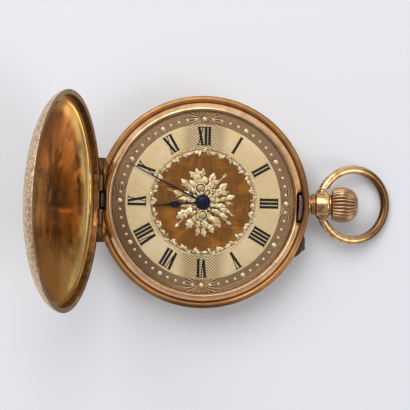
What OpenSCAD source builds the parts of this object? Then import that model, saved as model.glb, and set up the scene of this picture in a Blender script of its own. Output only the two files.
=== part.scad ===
// Full hunter pocket watch, small size, stem wound and pin set, cover standing open.
// Z is up out of the dial, X points to the pendant, Y points to twelve on the dial.
// The origin is the centre of the flat that the watch lies on, under the back cover.

/* [Case] */
// Outer radius of the case
case_r = 17; // [15.5:0.1:18.5]
// Height of the back cover
back_h = 3; // [2.8:0.05:3.3]
// Height of the case band
band_h = 3.6; // [3.6:0.05:3.8]
// Height of the front cover
cover_h = 3.7; // [3.4:0.05:4.2]
// Radius of the flat on the back cover
flat_r = 9.5; // [8:0.1:10]
// Wall of the covers
shell_t = 0.42; // [0.3:0.02:0.5]
// Wall of a cover at its rim
rim_t = 0.8; // [0.7:0.02:0.9]
// Wall of the inner dust cover
cuvette_t = 0.3; // [0.2:0.02:0.36]
// Angle that the front cover stands open
open_angle = 103.5; // [90:0.5:106]

/* [Hinges] */
// Distance of the cover hinge axes inside the edge of the case
hinge_inset = 0.45; // [0.4:0.01:0.5]
// Radius of the hinge knuckles
knuckle_r = 0.6; // [0.5:0.02:0.64]
// Length of the hinge
hinge_len = 13.5; // [12:0.1:14]
// Gap in the middle of the front hinge, where the lift spring shows
hinge_gap = 2.8; // [2.6:0.1:3.2]
// Radius of the hinge pins
hinge_pin_r = 0.3; // [0.2:0.02:0.36]

/* [Pendant and bow] */
// Radius of the pendant neck
neck_r = 1.43; // [1.35:0.01:1.6]
// Radius of the pendant block
block_r = 2; // [1.8:0.02:2.1]
// Length of the neck between the case and the block
neck_len = 1.1; // [1:0.05:1.3]
// Length of the pendant block
block_len = 2.2; // [2.1:0.05:2.4]
// Distance of the bow's pivots along the block
pivot_inset = 1.1; // [1:0.02:1.3]
// Radius of the ring of the bow, to the middle of its wire
bow_r = 5.71; // [5.5:0.01:6.2]
// Radius of the bow wire
bow_wire = 0.72; // [0.6:0.01:0.8]
// Radius of the bow's pivots
bow_pivot_r = 0.36; // [0.3:0.01:0.4]
// Radius of the round ears that hold the bow
ear_r = 1; // [0.9:0.02:1.05]

/* [Crown] */
// Largest radius of the crown
crown_r = 2.85; // [2.6:0.01:3]
// Length of the crown
crown_len = 4.2; // [4:0.05:4.6]
// Number of flutes on the crown
flutes = 28; // [20:1:36]
// Radius of the winding stem
stem_r = 0.5; // [0.4:0.01:0.55]
// Travel of the crown when it is pressed
press = 0.4; // [0.3:0.02:0.42]

/* [Dial side] */
// Distance of the dial's edge inside the edge of the case
dial_inset = 2.4; // [2.35:0.01:2.45]
// Thickness of the dial
dial_t = 0.35; // [0.25:0.01:0.4]
// Width of the ledge outside the bezel
bezel_inset = 1.1; // [1.08:0.01:1.15]
// Height of the crystal's dome
crystal_h = 1; // [0.9:0.02:1.2]
// Thickness of the crystal
crystal_t = 0.35; // [0.25:0.01:0.4]
// Distance of the minute hand's tip from the dial's edge
minute_inset = 1.2; // [0.8:0.05:2]
// Length of the hour hand as a share of the minute hand
hour_share = 0.61; // [0.55:0.01:0.7]
// Time shown, in minutes after twelve
time_shown = 529.5; // [0:0.5:719]

/* [Movement] */
// Radius of the balance wheel
balance_r = 4.3; // [4:0.05:4.4]
// Radial play of the running fits
play = 0.03; // [0.02:0.005:0.05]
// Gap between pieces that pass each other
gap = 0.05; // [0.03:0.01:0.08]

/* [Hidden] */
$fn = 96;

// Radii of the case, each from its edge
bezel_r = case_r - bezel_inset;
cover_in_r = case_r - rim_t;
dial_r = case_r - dial_inset;
wall_r = dial_r + gap;
bore_r = dial_r - 0.4;
plate_r = bore_r - 0.1;
recess_r = case_r - 1.25;
cuvette_r = recess_r - 0.25;
hinge_x = case_r - hinge_inset;
// Groove round the bezel's seat, where the case springs lie
groove_r = bezel_r - 0.9;
ledge_r = bezel_r + 0.2;
slot_r = bezel_r + 0.05;
// The movement is drawn at the size of its own plate, and brought to the case's size
own_plate_r = 14.1;
movement_k = plate_r / own_plate_r;
bridge_r = own_plate_r - 0.7;
// Heights of the case
ledge_z = back_h + band_h;
axis_z = back_h + 1.4;
bezel_z = ledge_z;
cuvette_z = back_h + 0.02;
spring_z = ledge_z - 1.4;
// Heights of the movement at its own size, from the bridges up to the dial
plate_z = axis_z - 0.1;
bridge_z = plate_z - 2.3;
cavity_z = bridge_z + 0.85;
flange_z = plate_z + 1.1;
dial_z = plate_z + 2;
// Heights where the case meets the movement
flange_seat_z = fitted_z(flange_z);
crystal_z = fitted_z(dial_z + dial_t + 0.55);
bezel_top_z = crystal_z + 0.4;
// Lock spring and lift spring
leaf_r = bezel_r - 0.45;
leaf_t = 0.2;
leaf_turn = 50;
leaf_end_r = leaf_r + 0.15;
lock_r = bezel_r - 0.5;
lock_t = 0.4;
lock_w = 4;
lock_y = -0.55;
notch_w = lock_w + 0.9;
notch_corner_r = 0.5;
lift_w = 2.2;
lift_x = bezel_r + 0.05;
// Sleeve, crown and bow
block_x = case_r + neck_len;
bow_x = block_x + pivot_inset;
sleeve_r = neck_r - 0.36;
sleeve_tip_x = lock_r + lock_t + 0.25;
sleeve_in = 0.75;
block_end_x = block_x + block_len;
block_edge_r = 0.25;
// The sleeve's collar slides into the end of the block as the crown is pressed
collar_r = block_r - 0.36;
collar_in = 0.1;
crown_x = block_end_x + press + gap;
crown_tip_x = crown_x + crown_len;
stem_tip_x = crown_tip_x - 1.2;
ear_end_y = block_r + 0.45;
ear_step = 0.14;
button_r = ear_r * 0.7;
button_edge_r = 0.22;
bow_end_y = ear_end_y + gap;
bow_start = asin(bow_end_y / bow_r);
bow_set = 0.22;
bow_reach = bow_r * cos(bow_start) + bow_set;
droop = asin((axis_z - bow_wire - 0.02) / (bow_reach + bow_r));
// Set push
push_angle = -23.6;
push_r = 0.34;
push_out = 1.05;
guard_out = 0.82;
guard_w = 4.1;
guard_h = 1.2;
guard_rise = case_r + guard_out - sqrt(case_r * case_r - guard_w * guard_w / 4);
guard_r = (guard_rise * guard_rise + guard_w * guard_w / 4) / (2 * guard_rise);
// Screws, posts and pivots of the movement
case_thread_r = 0.3;
case_head_r = 0.85;
case_head_room = 1;
bridge_thread_r = 0.22;
wheel_thread_r = 0.3;
pivot_r = 0.1;
fine_pivot_r = 0.08;
pivot_hole_r = 0.12;
jewel_r = 0.42;
centre_jewel_r = 0.62;
centre_arbor_r = 0.28;
cannon_r = 0.45;
hour_pipe_r = 0.82;
dial_hole_r = 0.95;
staff_r = 0.24;
minute_post_r = 0.22;
setting_post_r = 0.4;
crown_hub_r = 0.55;
click_stud_r = 0.25;
yoke_post_r = 0.22;
barrel_arbor_r = 0.5;
arbor_square = 0.6;
// Rooms for the winding pinion, the sliding pinion and the balance
winding_room = 1.45;
winding_room_w = 4.1;
sliding_room_w = 2.8;
balance_room = 0.5;
// How far a cut runs past a face, and the height that cuts through the movement run to
past = 1;
through_z = 10;
// Modules of the teeth, and the places of the wheels
barrel_m = 0.12;
barrel_n = 80;
centre_leaves = 10;
third_leaves = 8;
fourth_leaves = 8;
escape_leaves = 7;
centre_n = 64;
third_n = 60;
fourth_n = 70;
escape_n = 15;
centre_m = 0.1;
third_m = 0.09;
fourth_m = 0.075;
wind_m = 0.2;
ratchet_n = 29;
crown_n = 24;
wind_n = 17;
motion_m = 0.12;
cannon_n = 10;
minute_n = 30;
minute_leaves = 8;
hour_n = 32;
setting_n = 50;
barrel_at = polar(barrel_m * (barrel_n + centre_leaves) / 2, barrel_dir());
crown_wheel_at = [9.4, 0];
third_dir = 160;
third_at = polar(centre_m * (centre_n + third_leaves) / 2, third_dir);
fourth_dir = 260;
fourth_at = third_at + polar(third_m * (third_n + fourth_leaves) / 2, fourth_dir);
escape_dir = 300;
escape_at = fourth_at + polar(fourth_m * (fourth_n + escape_leaves) / 2, escape_dir);
lever_dir = 330;
pallet_at = escape_at + polar(2.25, lever_dir);
balance_at = pallet_at + polar(2.9, lever_dir);
setting_at = [6.45, 0];
minute_dir = -38.2;
minute_at = polar(motion_m * (cannon_n + minute_n) / 2, minute_dir);
// Phases that put each tooth in the gap that it meets
cannon_turn = 0;
minute_turn = meshed(minute_dir, cannon_turn, cannon_n, minute_n);
hour_turn = meshed(minute_dir + 180, 0, minute_leaves, hour_n);
setting_dir = atan2(setting_at[1] - minute_at[1], setting_at[0] - minute_at[0]);
setting_turn = meshed(setting_dir, minute_turn, minute_n, setting_n);
barrel_turn = meshed(barrel_dir(), 0, centre_leaves, barrel_n);
third_leaf_turn = meshed(third_dir, 0, centre_n, third_leaves);
fourth_leaf_turn = meshed(fourth_dir, 0, third_n, fourth_leaves);
escape_leaf_turn = meshed(escape_dir, 0, fourth_n, escape_leaves);
ratchet_dir = atan2(barrel_at[1], barrel_at[0] - crown_wheel_at[0]);
crown_wheel_turn = 180 / crown_n;
ratchet_turn = meshed(ratchet_dir, crown_wheel_turn, crown_n, ratchet_n);
cock_dir = -52;
regulator_dir = 150;

// A point at a radius and an angle
function polar(r, a) = [r * cos(a), r * sin(a)];
// A height of the movement as it stands in the case
function fitted_z(z) = axis_z + (z - axis_z) * movement_k;
// Angle of the barrel, which clears the sliding pinion on the stem
function barrel_dir() = 28.2;
// Angle of a tooth on the second wheel, in mesh with the first in this direction
function meshed(dir, first, n1, n2) = dir + 180 - (first - dir) * n1 / n2 + 180 / n2;
// Outline of a dome from its flat out to its rim, which stands square
function dome(flat, rim, h, z0, up) = [for (a = [0:6:90])
    [flat + (rim - flat) * sin(a), z0 + up * h * (1 - cos(a))]];
// Points of a toothed wheel with n teeth of module m
function teeth(n, m) = [for (i = [0:n - 1]) for (k = [0:3])
    polar(n * m / 2 + (k == 1 || k == 2 ? 0.85 : -1.1) * m,
        360 / n * (i + [-0.27, -0.1, 0.1, 0.27][k]))];
// Points of a flat spiral strip with this many turns
function spiral(r0, r1, t, turns) = concat(
    [for (i = [0:turns * 24]) polar(r0 + (r1 - r0) * i / (turns * 24) - t / 2, i * 15)],
    [for (i = [turns * 24:-1:0]) polar(r0 + (r1 - r0) * i / (turns * 24) + t / 2, i * 15)]);

// Brings a piece of the movement to the size of the case
module fitted() {
    translate([0, 0, axis_z * (1 - movement_k)]) scale(movement_k) children();
}

module rod(r, z0, z1, at = [0, 0]) {
    translate([at[0], at[1], z0]) cylinder(r = r, h = z1 - z0);
}

module rod_x(r, x0, x1) {
    translate([x0, 0, axis_z]) rotate([0, 90, 0]) cylinder(r = r, h = x1 - x0);
}

module rod_y(r, x, z, y0, y1) {
    translate([x, y0, z]) rotate([-90, 0, 0]) cylinder(r = r, h = y1 - y0);
}

module block(x0, x1, y0, y1, z0, z1) {
    translate([x0, y0, z0]) cube([x1 - x0, y1 - y0, z1 - z0]);
}

module gear(n, m, z0, z1, turn = 0) {
    translate([0, 0, z0]) rotate(turn) linear_extrude(z1 - z0) polygon(teeth(n, m));
}

// A train wheel with a rim, spokes and a bore
module train_wheel(n, m, z0, z1, hub, bore, spokes, turn = 0) {
    rim = n * m / 2 - 4.5 * m;
    translate([0, 0, z0]) rotate(turn) linear_extrude(z1 - z0) difference() {
        polygon(teeth(n, m));
        difference() {
            circle(r = rim);
            circle(r = hub);
            for (i = [0:spokes - 1]) rotate(360 / spokes * i)
                translate([0, -hub / 3]) square([rim + 1, hub / 1.5]);
        }
        circle(r = bore);
    }
}

// The knuckles of one hinge leaf, mirrored about the middle
module knuckles(x, z, y0, y1, r) {
    for (s = [0, 1]) mirror([0, s, 0]) rod_y(r, x, z, y0, y1);
}

// Limits of the knuckles along the hinge
outer_y = hinge_len / 2;
split_y = hinge_len * 0.3;
inner_y = hinge_gap / 2 + gap;

module case_middle() color("goldenrod") {
    difference() {
        union() {
            rotate_extrude() polygon([[groove_r - 3, back_h], [case_r - 0.15, back_h],
                [case_r, back_h + 0.2], [case_r, ledge_z - 0.2],
                [case_r - 0.15, ledge_z], [groove_r - 3, ledge_z]]);
            hinge_block();
            knuckles(-hinge_x, ledge_z, split_y + gap, outer_y, knuckle_r);
            knuckles(-hinge_x, back_h, split_y + gap, outer_y, knuckle_r);
        }
        rod(bore_r, back_h - past, ledge_z + past);
        rod(wall_r, flange_seat_z, ledge_z + past);
        rod(recess_r, back_h - past, back_h + 0.45);
        spring_groove();
        block(-hinge_x - 0.1, -lift_x + 0.9, -hinge_gap / 2, hinge_gap / 2, spring_z, ledge_z + past);
        rod_x(sleeve_r + play, bore_r - past, case_r + 2);
        pin_cuts();
        rotate(push_angle) translate([bore_r - 1, 0, axis_z]) rotate([0, 90, 0])
            cylinder(r = push_r + play, h = 5);
        fitted() {
            for (a = screw_dirs)
                rod(case_head_room, back_h - past, plate_z + 0.02, polar(screw_r, a));
        }
        for (a = [leaf_turn, 180 + leaf_turn])
            rod(0.35, spring_z - 0.8, spring_z + 0.1, polar(leaf_end_r, a));
        knuckle_cuts(ledge_z);
        knuckle_cuts(back_h);
        cuvette_seat();
    }
}

// Places of the two screws that hold the movement in the case
screw_dirs = [78, 205];
screw_r = own_plate_r - 0.5;

module hinge_block() {
    intersection() {
        translate([0, outer_y, 0]) rotate([90, 0, 0]) linear_extrude(hinge_len) polygon([
            [-hinge_x + 2.2, back_h], [-hinge_x - 0.5, back_h], [-hinge_x - 0.5, back_h + 0.7],
            [-hinge_x - 0.3, back_h + 1.1], [-hinge_x - 0.3, ledge_z - 1.1],
            [-hinge_x - 0.5, ledge_z - 0.7], [-hinge_x - 0.5, ledge_z],
            [-hinge_x + 2.2, ledge_z]]);
        block(-hinge_x - 1, -groove_r + 1, -outer_y, outer_y, 0, 20);
    }
}

// The groove is wider under the ledge, so that the springs show in their slots only
module spring_groove() {
    difference() {
        union() {
            rod(ledge_r, spring_z, ledge_z - 0.15);
            rod(slot_r, spring_z, ledge_z + past);
        }
        rod(groove_r, spring_z - past, ledge_z + 2);
    }
}

// Room for the knuckles of the cover that turns in this hinge
module knuckle_cuts(z) {
    knuckles(-hinge_x, z, inner_y - gap, split_y, knuckle_r + 0.06);
}

module pin_cuts() {
    knuckles(-hinge_x, ledge_z, hinge_gap / 2 - past, outer_y + past, hinge_pin_r);
    rod_y(hinge_pin_r, -hinge_x, back_h, -outer_y - past, outer_y + past);
}

// Axis of the dust cover's hinge
cuvette_x = cuvette_r - 0.15;
cuvette_axis_z = back_h + 0.15;
cuvette_knuckle_r = 0.36;
cuvette_pin_r = 0.16;

module cuvette_seat() {
    knuckles(-cuvette_x, cuvette_axis_z, 0, 1.6, cuvette_knuckle_r + 0.06);
    rod_y(cuvette_pin_r, -cuvette_x, cuvette_axis_z, -3, 3);
}

// Slot in the bezel over the lock spring, with round inner corners
module lock_notch() {
    inner = groove_r - 0.1;
    side = notch_w / 2 - notch_corner_r;
    translate([0, lock_y, 0]) {
        block(inner, case_r, -side, side, bezel_z - past, bezel_top_z + past);
        block(inner + notch_corner_r, case_r, -notch_w / 2, notch_w / 2,
            bezel_z - past, bezel_top_z + past);
        for (y = [-side, side]) rod(notch_corner_r, bezel_z - past, bezel_top_z + past,
            [inner + notch_corner_r, y]);
    }
}

module bezel() color("gold") {
    difference() {
        rotate_extrude() polygon([[wall_r, bezel_z], [bezel_r, bezel_z],
            [bezel_r, bezel_z + 0.12], [bezel_r - 0.06, bezel_z + 0.22],
            [bezel_r - 0.24, bezel_top_z - 0.57], [bezel_r - 0.43, bezel_top_z - 0.37],
            [bezel_r - 0.63, bezel_top_z - 0.19], [wall_r + 0.4, bezel_top_z - 0.02],
            [wall_r + 0.3, bezel_top_z], [wall_r + 0.22, bezel_top_z - 0.04],
            [wall_r + 0.22, crystal_z], [wall_r, crystal_z]]);
        lock_notch();
        block(-case_r, -groove_r - 0.4, -hinge_gap / 2, hinge_gap / 2,
            bezel_z - past, bezel_top_z + past);
    }
}

// Radius of the crystal's sphere, from its edge and its height
glass_r = wall_r + 0.2;
glass_ball = (glass_r * glass_r + crystal_h * crystal_h) / (2 * crystal_h);

module crystal() color("white", 0.3) {
    top = crystal_z + crystal_t + crystal_h;
    intersection() {
        rod(glass_r, crystal_z + 0.01, top + past);
        difference() {
            translate([0, 0, top - glass_ball]) sphere(r = glass_ball, $fn = 200);
            translate([0, 0, top - crystal_t - glass_ball]) sphere(r = glass_ball, $fn = 200);
        }
    }
}

// A cover as it lies closed on its ledge, dome upwards, with its hinge leaf
module cover_shell(z0, h, flat, side) {
    difference() {
        rotate_extrude() polygon(concat([[0, z0 + side * h]],
            dome(flat, case_r, h, z0 + side * h, -side),
            [[cover_in_r, z0]],
            [for (i = [15:-1:0]) dome(flat, cover_in_r, h - shell_t,
                z0 + side * (h - shell_t), -side)[i]],
            [[0, z0 + side * (h - shell_t)]]));
        knuckles(-hinge_x, z0, -1, outer_y + 0.1, knuckle_r + 0.06);
        block(-case_r - past, -hinge_x, -outer_y - 0.1, outer_y + 0.1,
            z0 - knuckle_r - 0.06, z0 + knuckle_r + 0.06);
    }
    difference() {
        union() {
            knuckles(-hinge_x, z0, inner_y, split_y - gap, knuckle_r);
            for (s = [0, 1]) mirror([0, s, 0])
                block(-hinge_x, -hinge_x + 0.55, inner_y, split_y - gap,
                    side > 0 ? z0 + 0.1 : z0 - 0.8, side > 0 ? z0 + 0.8 : z0 - 0.1);
        }
        knuckles(-hinge_x, z0, -1, outer_y + past, hinge_pin_r + play);
    }
}

// Widths of the strip for the lift spring and of the lip for the lock spring
lift_strip_w = 8.6;
lip_w = 4.6;

module front_cover_closed() {
    cover_shell(ledge_z + 0.02, cover_h, 5, 1);
    // Strip inside the rim that the lift spring pushes on
    intersection() {
        difference() {
            rod(cover_in_r + 0.1, ledge_z + 0.12, ledge_z + 0.75);
            rod(bezel_r + 0.06, ledge_z, ledge_z + past);
        }
        block(-case_r, -groove_r + 3, -lift_strip_w / 2, lift_strip_w / 2, ledge_z, ledge_z + 2);
    }
    // Lip that the lock spring holds
    intersection() {
        difference() {
            rod(cover_in_r + 0.1, ledge_z + 0.05, ledge_z + 0.3);
            rod(bezel_r + 0.1, ledge_z, ledge_z + past);
        }
        block(groove_r - 3, case_r, lock_y - lip_w / 2, lock_y + lip_w / 2, ledge_z, ledge_z + 2);
    }
}

module front_cover() color("peru") {
    translate([-hinge_x, 0, ledge_z]) rotate([0, -open_angle, 0])
        translate([hinge_x, 0, -ledge_z]) front_cover_closed();
}

module back_cover() color("peru") {
    cover_shell(back_h - 0.02, back_h - 0.02, flat_r, -1);
}

// Flat of the dust cover, and its floor below the movement's screws
cuvette_flat_r = cuvette_r - 5;
cuvette_low = fitted_z(bridge_z - 0.2) - 0.25 - cuvette_t;

module cuvette() color("gold") {
    low = cuvette_low;
    difference() {
        rotate_extrude() polygon(concat([[0, low]],
            dome(cuvette_flat_r, cuvette_r, cuvette_z - low, low, 1),
            [[cuvette_r, back_h + 0.36], [cuvette_r - 0.4, back_h + 0.36]],
            [for (i = [15:-1:0]) dome(cuvette_flat_r, cuvette_r - 0.4,
                cuvette_z - low - cuvette_t + 0.1, low + cuvette_t, 1)[i]],
            [[0, low + cuvette_t]]));
        knuckles(-cuvette_x, cuvette_axis_z, -0.1, 3, cuvette_knuckle_r + 0.06);
        block(-case_r, -cuvette_x, -3, 3, cuvette_axis_z - 0.5, cuvette_axis_z + 0.5);
    }
    difference() {
        union() {
            rod_y(cuvette_knuckle_r, -cuvette_x, cuvette_axis_z, -1.5, 1.5);
            block(-cuvette_x, -cuvette_x + 0.6, -1.5, 1.5, cuvette_axis_z - 0.36,
                cuvette_axis_z - 0.05);
        }
        rod_y(cuvette_pin_r + 0.02, -cuvette_x, cuvette_axis_z, -2, 2);
    }
}

module front_hinge_pins() color("gray") {
    knuckles(-hinge_x, ledge_z, inner_y, outer_y - 0.05, hinge_pin_r);
}

module back_hinge_pin() color("gray") {
    rod_y(hinge_pin_r, -hinge_x, back_h, -outer_y + 0.05, outer_y - 0.05);
}

module cuvette_hinge_pin() color("gray") {
    rod_y(cuvette_pin_r, -cuvette_x, cuvette_axis_z, -2.9, 2.9);
}

// The leaf that both case springs share: a strip along the groove with a pad at its screw
module case_leaf() {
    difference() {
        union() {
            translate([0, 0, spring_z + 0.1]) rotate_extrude(angle = leaf_turn)
                translate([leaf_r, 0]) square([leaf_t, 0.8]);
            rod(0.45, spring_z + 0.02, spring_z + 0.95, polar(leaf_end_r, leaf_turn));
        }
        rod(0.22, spring_z - past, spring_z + 2, polar(leaf_end_r, leaf_turn));
    }
}

module lift_spring() color("dimgray") {
    rotate(180) case_leaf();
    block(-lift_x - 0.38, -lift_x, -lift_w / 2, lift_w / 2, spring_z + 0.1, ledge_z + 0.35);
    block(-lift_x - 0.1, -leaf_r - 0.02, -lift_w / 2, 0, spring_z + 0.1, spring_z + 0.9);
}

// A band of the lock spring's end, of one width, between two radii and two heights
module lock_band(r0, r1, w, z0, z1) {
    intersection() {
        difference() {
            rod(r1, z0, z1);
            rod(r0, z0 - past, z1 + past);
        }
        block(groove_r - 3, case_r, lock_y - w / 2, lock_y + w / 2, z0 - past, z1 + past);
    }
}

module lock_spring() color("dimgray") {
    case_leaf();
    lock_band(lock_r, lock_r + lock_t, lock_w, spring_z + 0.1, ledge_z + 0.66);
    lock_band(lock_r + 0.2, bezel_r + 0.08, lock_w - 1, ledge_z + 0.36, ledge_z + 0.6);
}

module spring_screws() color("steelblue") {
    for (a = [leaf_turn, 180 + leaf_turn]) {
        at = polar(leaf_end_r, a);
        rod(0.2, spring_z - 0.7, spring_z + 1.1, at);
        difference() {
            rod(0.42, spring_z + 0.98, spring_z + 1.2, at);
            translate([at[0], at[1], spring_z + 1.17]) cube([1, 0.12, 0.1], center = true);
        }
    }
}

module pendant() color("goldenrod") {
    difference() {
        union() {
            rod_x(neck_r, case_r - 0.4, block_x + 0.5);
            rod_x(neck_r + 0.35, case_r - 0.1, case_r + 0.15);
            for (x = [0.62, 0.9]) rod_x(neck_r + 0.28, case_r + x - 0.1, case_r + x + 0.1);
            pendant_block();
            for (s = [0, 1]) mirror([0, s, 0]) pendant_ear();
        }
        rod_x(sleeve_r + play, case_r - 2, block_end_x + past);
        rod_x(collar_r + play, block_end_x - press - collar_in - gap, block_end_x + past);
        knuckles(bow_x, axis_z, sleeve_r + 0.5, block_r + 2, bow_pivot_r + play);
        rod(case_r, 0, 2 * axis_z);
        rod(case_r + 0.05, 0, back_h + 0.02);
    }
}

module pendant_block() {
    translate([block_x, 0, axis_z]) rotate([0, 90, 0]) rotate_extrude() polygon(concat([[0, 0]],
        [for (a = [0:18:90]) [block_r - block_edge_r * (1 - sin(a)), block_edge_r * (1 - cos(a))]],
        [for (a = [0:18:90]) [block_r - block_edge_r * (1 - cos(a)),
            block_len - block_edge_r * (1 - sin(a))]],
        [[0, block_len]]));
}

// One of the two ears that take the bow's pins: a low step with a rounded button on it
module pendant_ear() {
    translate([bow_x, 0, axis_z]) rotate([-90, 0, 0]) {
        cylinder(r = ear_r, h = block_r + ear_step);
        rotate_extrude() polygon(concat([[0, 0], [button_r, 0]],
            [for (a = [0:18:90]) [button_r - button_edge_r * (1 - cos(a)),
                ear_end_y - button_edge_r * (1 - sin(a))]],
            [[0, ear_end_y]]));
    }
}

module push_sleeve() color("darkgoldenrod") {
    difference() {
        union() {
            rod_x(sleeve_r, sleeve_tip_x, crown_x + sleeve_in);
            rod_x(collar_r, block_end_x - collar_in, crown_x - play);
        }
        rod_x(stem_r * movement_k + play, sleeve_tip_x - past, crown_x + past);
    }
}

module bow() color("goldenrod") {
    pin_y = sleeve_r + 0.6;
    start = asin((bow_end_y - bow_wire / 2) / bow_r);
    translate([bow_x, 0, axis_z]) rotate([0, droop, 0]) {
        difference() {
            translate([bow_reach, 0, 0]) rotate(180 + start)
                rotate_extrude(angle = 360 - 2 * start) translate([bow_r, 0]) circle(r = bow_wire);
            block(-bow_wire, bow_r / 2, -bow_end_y, bow_end_y, -2 * bow_wire, 2 * bow_wire);
        }
        for (s = [0, 1]) mirror([0, s, 0]) rotate([-90, 0, 0]) translate([0, 0, pin_y])
            cylinder(r = bow_pivot_r, h = bow_end_y + 0.5 - pin_y);
    }
}

// Half outline of the crown, along its axis, as shares of its radius and its length
crown_shape = [[0, 0], [0.83, 0], [0.905, 0.1], [0.97, 0.21], [1, 0.36], [0.99, 0.5], [0.94, 0.64],
    [0.85, 0.76], [0.73, 0.86], [0.59, 0.93], [0.42, 0.98], [0.25, 1], [0, 1]];
flute_depth = 0.25;
flute_land = [0, 0.3, 0.7];

module crown() color("rosybrown") {
    difference() {
        intersection() {
            translate([crown_x, 0, axis_z]) rotate([0, 90, 0]) rotate_extrude()
                polygon([for (p = crown_shape) [p[0] * crown_r, p[1] * crown_len]]);
            translate([crown_x - 1, 0, axis_z]) rotate([0, 90, 0]) linear_extrude(crown_len + 2)
                polygon([for (i = [0:flutes - 1]) for (k = flute_land)
                    polar(crown_r - (k == 0 ? flute_depth : 0), 360 / flutes * (i + k))]);
        }
        rod_x(sleeve_r + play, crown_x - past, crown_x + sleeve_in + gap);
        rod_x(stem_r * movement_k, crown_x - past, stem_tip_x);
    }
}

// The stem ends in a square that drives the sliding pinion
square_x = 11.2;
round_x = square_x + 0.6;
stem_end_x = square_x - 2;
square_w = 0.6;

module winding_stem() color("silver") fitted() {
    rod_x(stem_r, round_x, stem_tip_x / movement_k);
    block(stem_end_x, round_x + 0.05, -square_w / 2, square_w / 2,
        axis_z - square_w / 2, axis_z + square_w / 2);
}

module winding_pinion() color("silver") fitted() {
    difference() {
        translate([square_x + 0.1, 0, axis_z]) rotate([0, 90, 0])
            gear(wind_n, wind_m, 0, 1.2, 0);
        rod_x(stem_r + play, square_x - past, 14);
    }
}

module sliding_pinion() color("silver") fitted() {
    difference() {
        union() {
            rod_x(0.7, square_x - 1.15, square_x + 0.05);
            rod_x(1.05, square_x - 0.35, square_x + 0.05);
            translate([square_x - 1.15, 0, axis_z]) rotate([0, 90, 0]) gear(14, 0.15, 0, 0.45, 0);
        }
        block(square_x - 2, square_x + past, -square_w / 2 - play, square_w / 2 + play,
            axis_z - square_w / 2 - play, axis_z + square_w / 2 + play);
        block(square_x - 0.1, square_x + past, -2, 2, axis_z - 0.12, axis_z + 0.12);
    }
}

module set_push() color("dimgray") {
    rotate(push_angle) translate([plate_r - 0.9, 0, axis_z]) rotate([0, 90, 0]) {
        cylinder(r = push_r, h = case_r + push_out - plate_r + 0.8);
        translate([0, 0, case_r + push_out - plate_r + 0.8]) cylinder(r1 = push_r,
            r2 = push_r - 0.12, h = 0.1);
    }
}

// The guard is a slice of a round disc that stands out of the case round the push
module push_guard() color("dimgray") {
    rotate(push_angle) difference() {
        rod(guard_r, axis_z - guard_h / 2, axis_z + guard_h / 2,
            [case_r + guard_out - guard_r, 0]);
        rod(case_r, 0, 2 * axis_z, $fn = 360);
        translate([case_r - 1, 0, axis_z]) rotate([0, 90, 0]) cylinder(r = push_r + play, h = 3);
    }
}

module movement_screws() color("steelblue") fitted() {
    for (a = screw_dirs) {
        rod(case_head_r, plate_z - 0.3, plate_z, polar(screw_r, a));
        rod(case_thread_r, plate_z - 0.01, plate_z + 0.8, polar(screw_r, a));
    }
}

module dial() color("khaki") fitted() {
    difference() {
        union() {
            rod(dial_r / movement_k, dial_z, dial_z + dial_t);
            for (a = feet_dirs) rod(foot_r, dial_z - 1.2, dial_z + 0.01, polar(feet_r, a));
        }
        rod(dial_hole_r, dial_z - past, dial_z + past);
    }
}

// Places of the feet that hold the dial
feet_dirs = [100, 280];
feet_r = own_plate_r - 0.9;
foot_r = 0.35;

// Angles of the hands, from twelve round the dial
minute_dir_shown = 90 - 6 * (time_shown % 60);
minute_len = (dial_r - minute_inset) / movement_k;
hour_len = minute_len * hour_share;
hour_dir_shown = 90 - time_shown / 2;

module hour_hand() color("midnightblue") fitted() {
    z = dial_z + dial_t + 0.2;
    difference() {
        union() {
            rod(1.05, z, z + 0.14);
            rotate(hour_dir_shown) translate([0, 0, z]) linear_extrude(0.14) polygon([[0, -0.2],
                [3.7, -0.1], [4.3, -0.42], [4.75, -0.42], [5.6, -0.12], [hour_len, -0.05],
                [hour_len, 0.05], [5.6, 0.12], [4.75, 0.42], [4.3, 0.42], [3.7, 0.1], [0, 0.2]]);
        }
        rod(hour_pipe_r, z - past, z + past);
    }
}

module minute_hand() color("midnightblue") fitted() {
    z = dial_z + dial_t + 0.45;
    rotate(minute_dir_shown) translate([0, 0, z]) linear_extrude(0.12) difference() {
        union() {
            circle(r = 1);
            polygon([[0, 0.16], [minute_len, 0.05], [minute_len, -0.05], [0, -0.16]]);
        }
        circle(r = cannon_r);
    }
    difference() {
        rod(1.18, z + 0.1, z + 0.3);
        rod(cannon_r, z, z + 0.4);
    }
}

module cannon_pinion() color("silver") fitted() {
    top = dial_z + dial_t + 0.75;
    difference() {
        union() {
            gear(cannon_n, motion_m, flange_z + 0.1, flange_z + 0.4, cannon_turn);
            rod(cannon_r, flange_z + 0.05, top);
            intersection() {
                rod(1.1, top, top + 0.15);
                translate([0, 0, top + 0.15 - 4.1]) sphere(r = 4.1);
            }
        }
        rod(centre_arbor_r + play, flange_z - past, top - 0.1);
    }
}

module hour_wheel() color("gold") fitted() {
    difference() {
        union() {
            train_wheel(hour_n, motion_m, flange_z + 0.5, flange_z + 0.7, 0.95, 0.3, 4, hour_turn);
            rod(hour_pipe_r, flange_z + 0.5, dial_z + dial_t + 0.34);
        }
        rod(cannon_r + play, flange_z, dial_z + 2);
    }
}

module minute_wheel() color("gold") fitted() {
    translate([minute_at[0], minute_at[1], 0]) difference() {
        union() {
            train_wheel(minute_n, motion_m, flange_z + 0.12, flange_z + 0.38, 0.55, 0.2, 4,
                minute_turn);
            gear(minute_leaves, motion_m, flange_z + 0.36, flange_z + 0.75, 0);
        }
        rod(minute_post_r + play, 0, through_z);
    }
}

module setting_wheel() color("silver") fitted() {
    translate([setting_at[0], setting_at[1], 0])
        train_wheel(setting_n, motion_m, flange_z + 0.12, flange_z + 0.38, 0.9,
            setting_post_r + play, 5, setting_turn);
}

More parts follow.
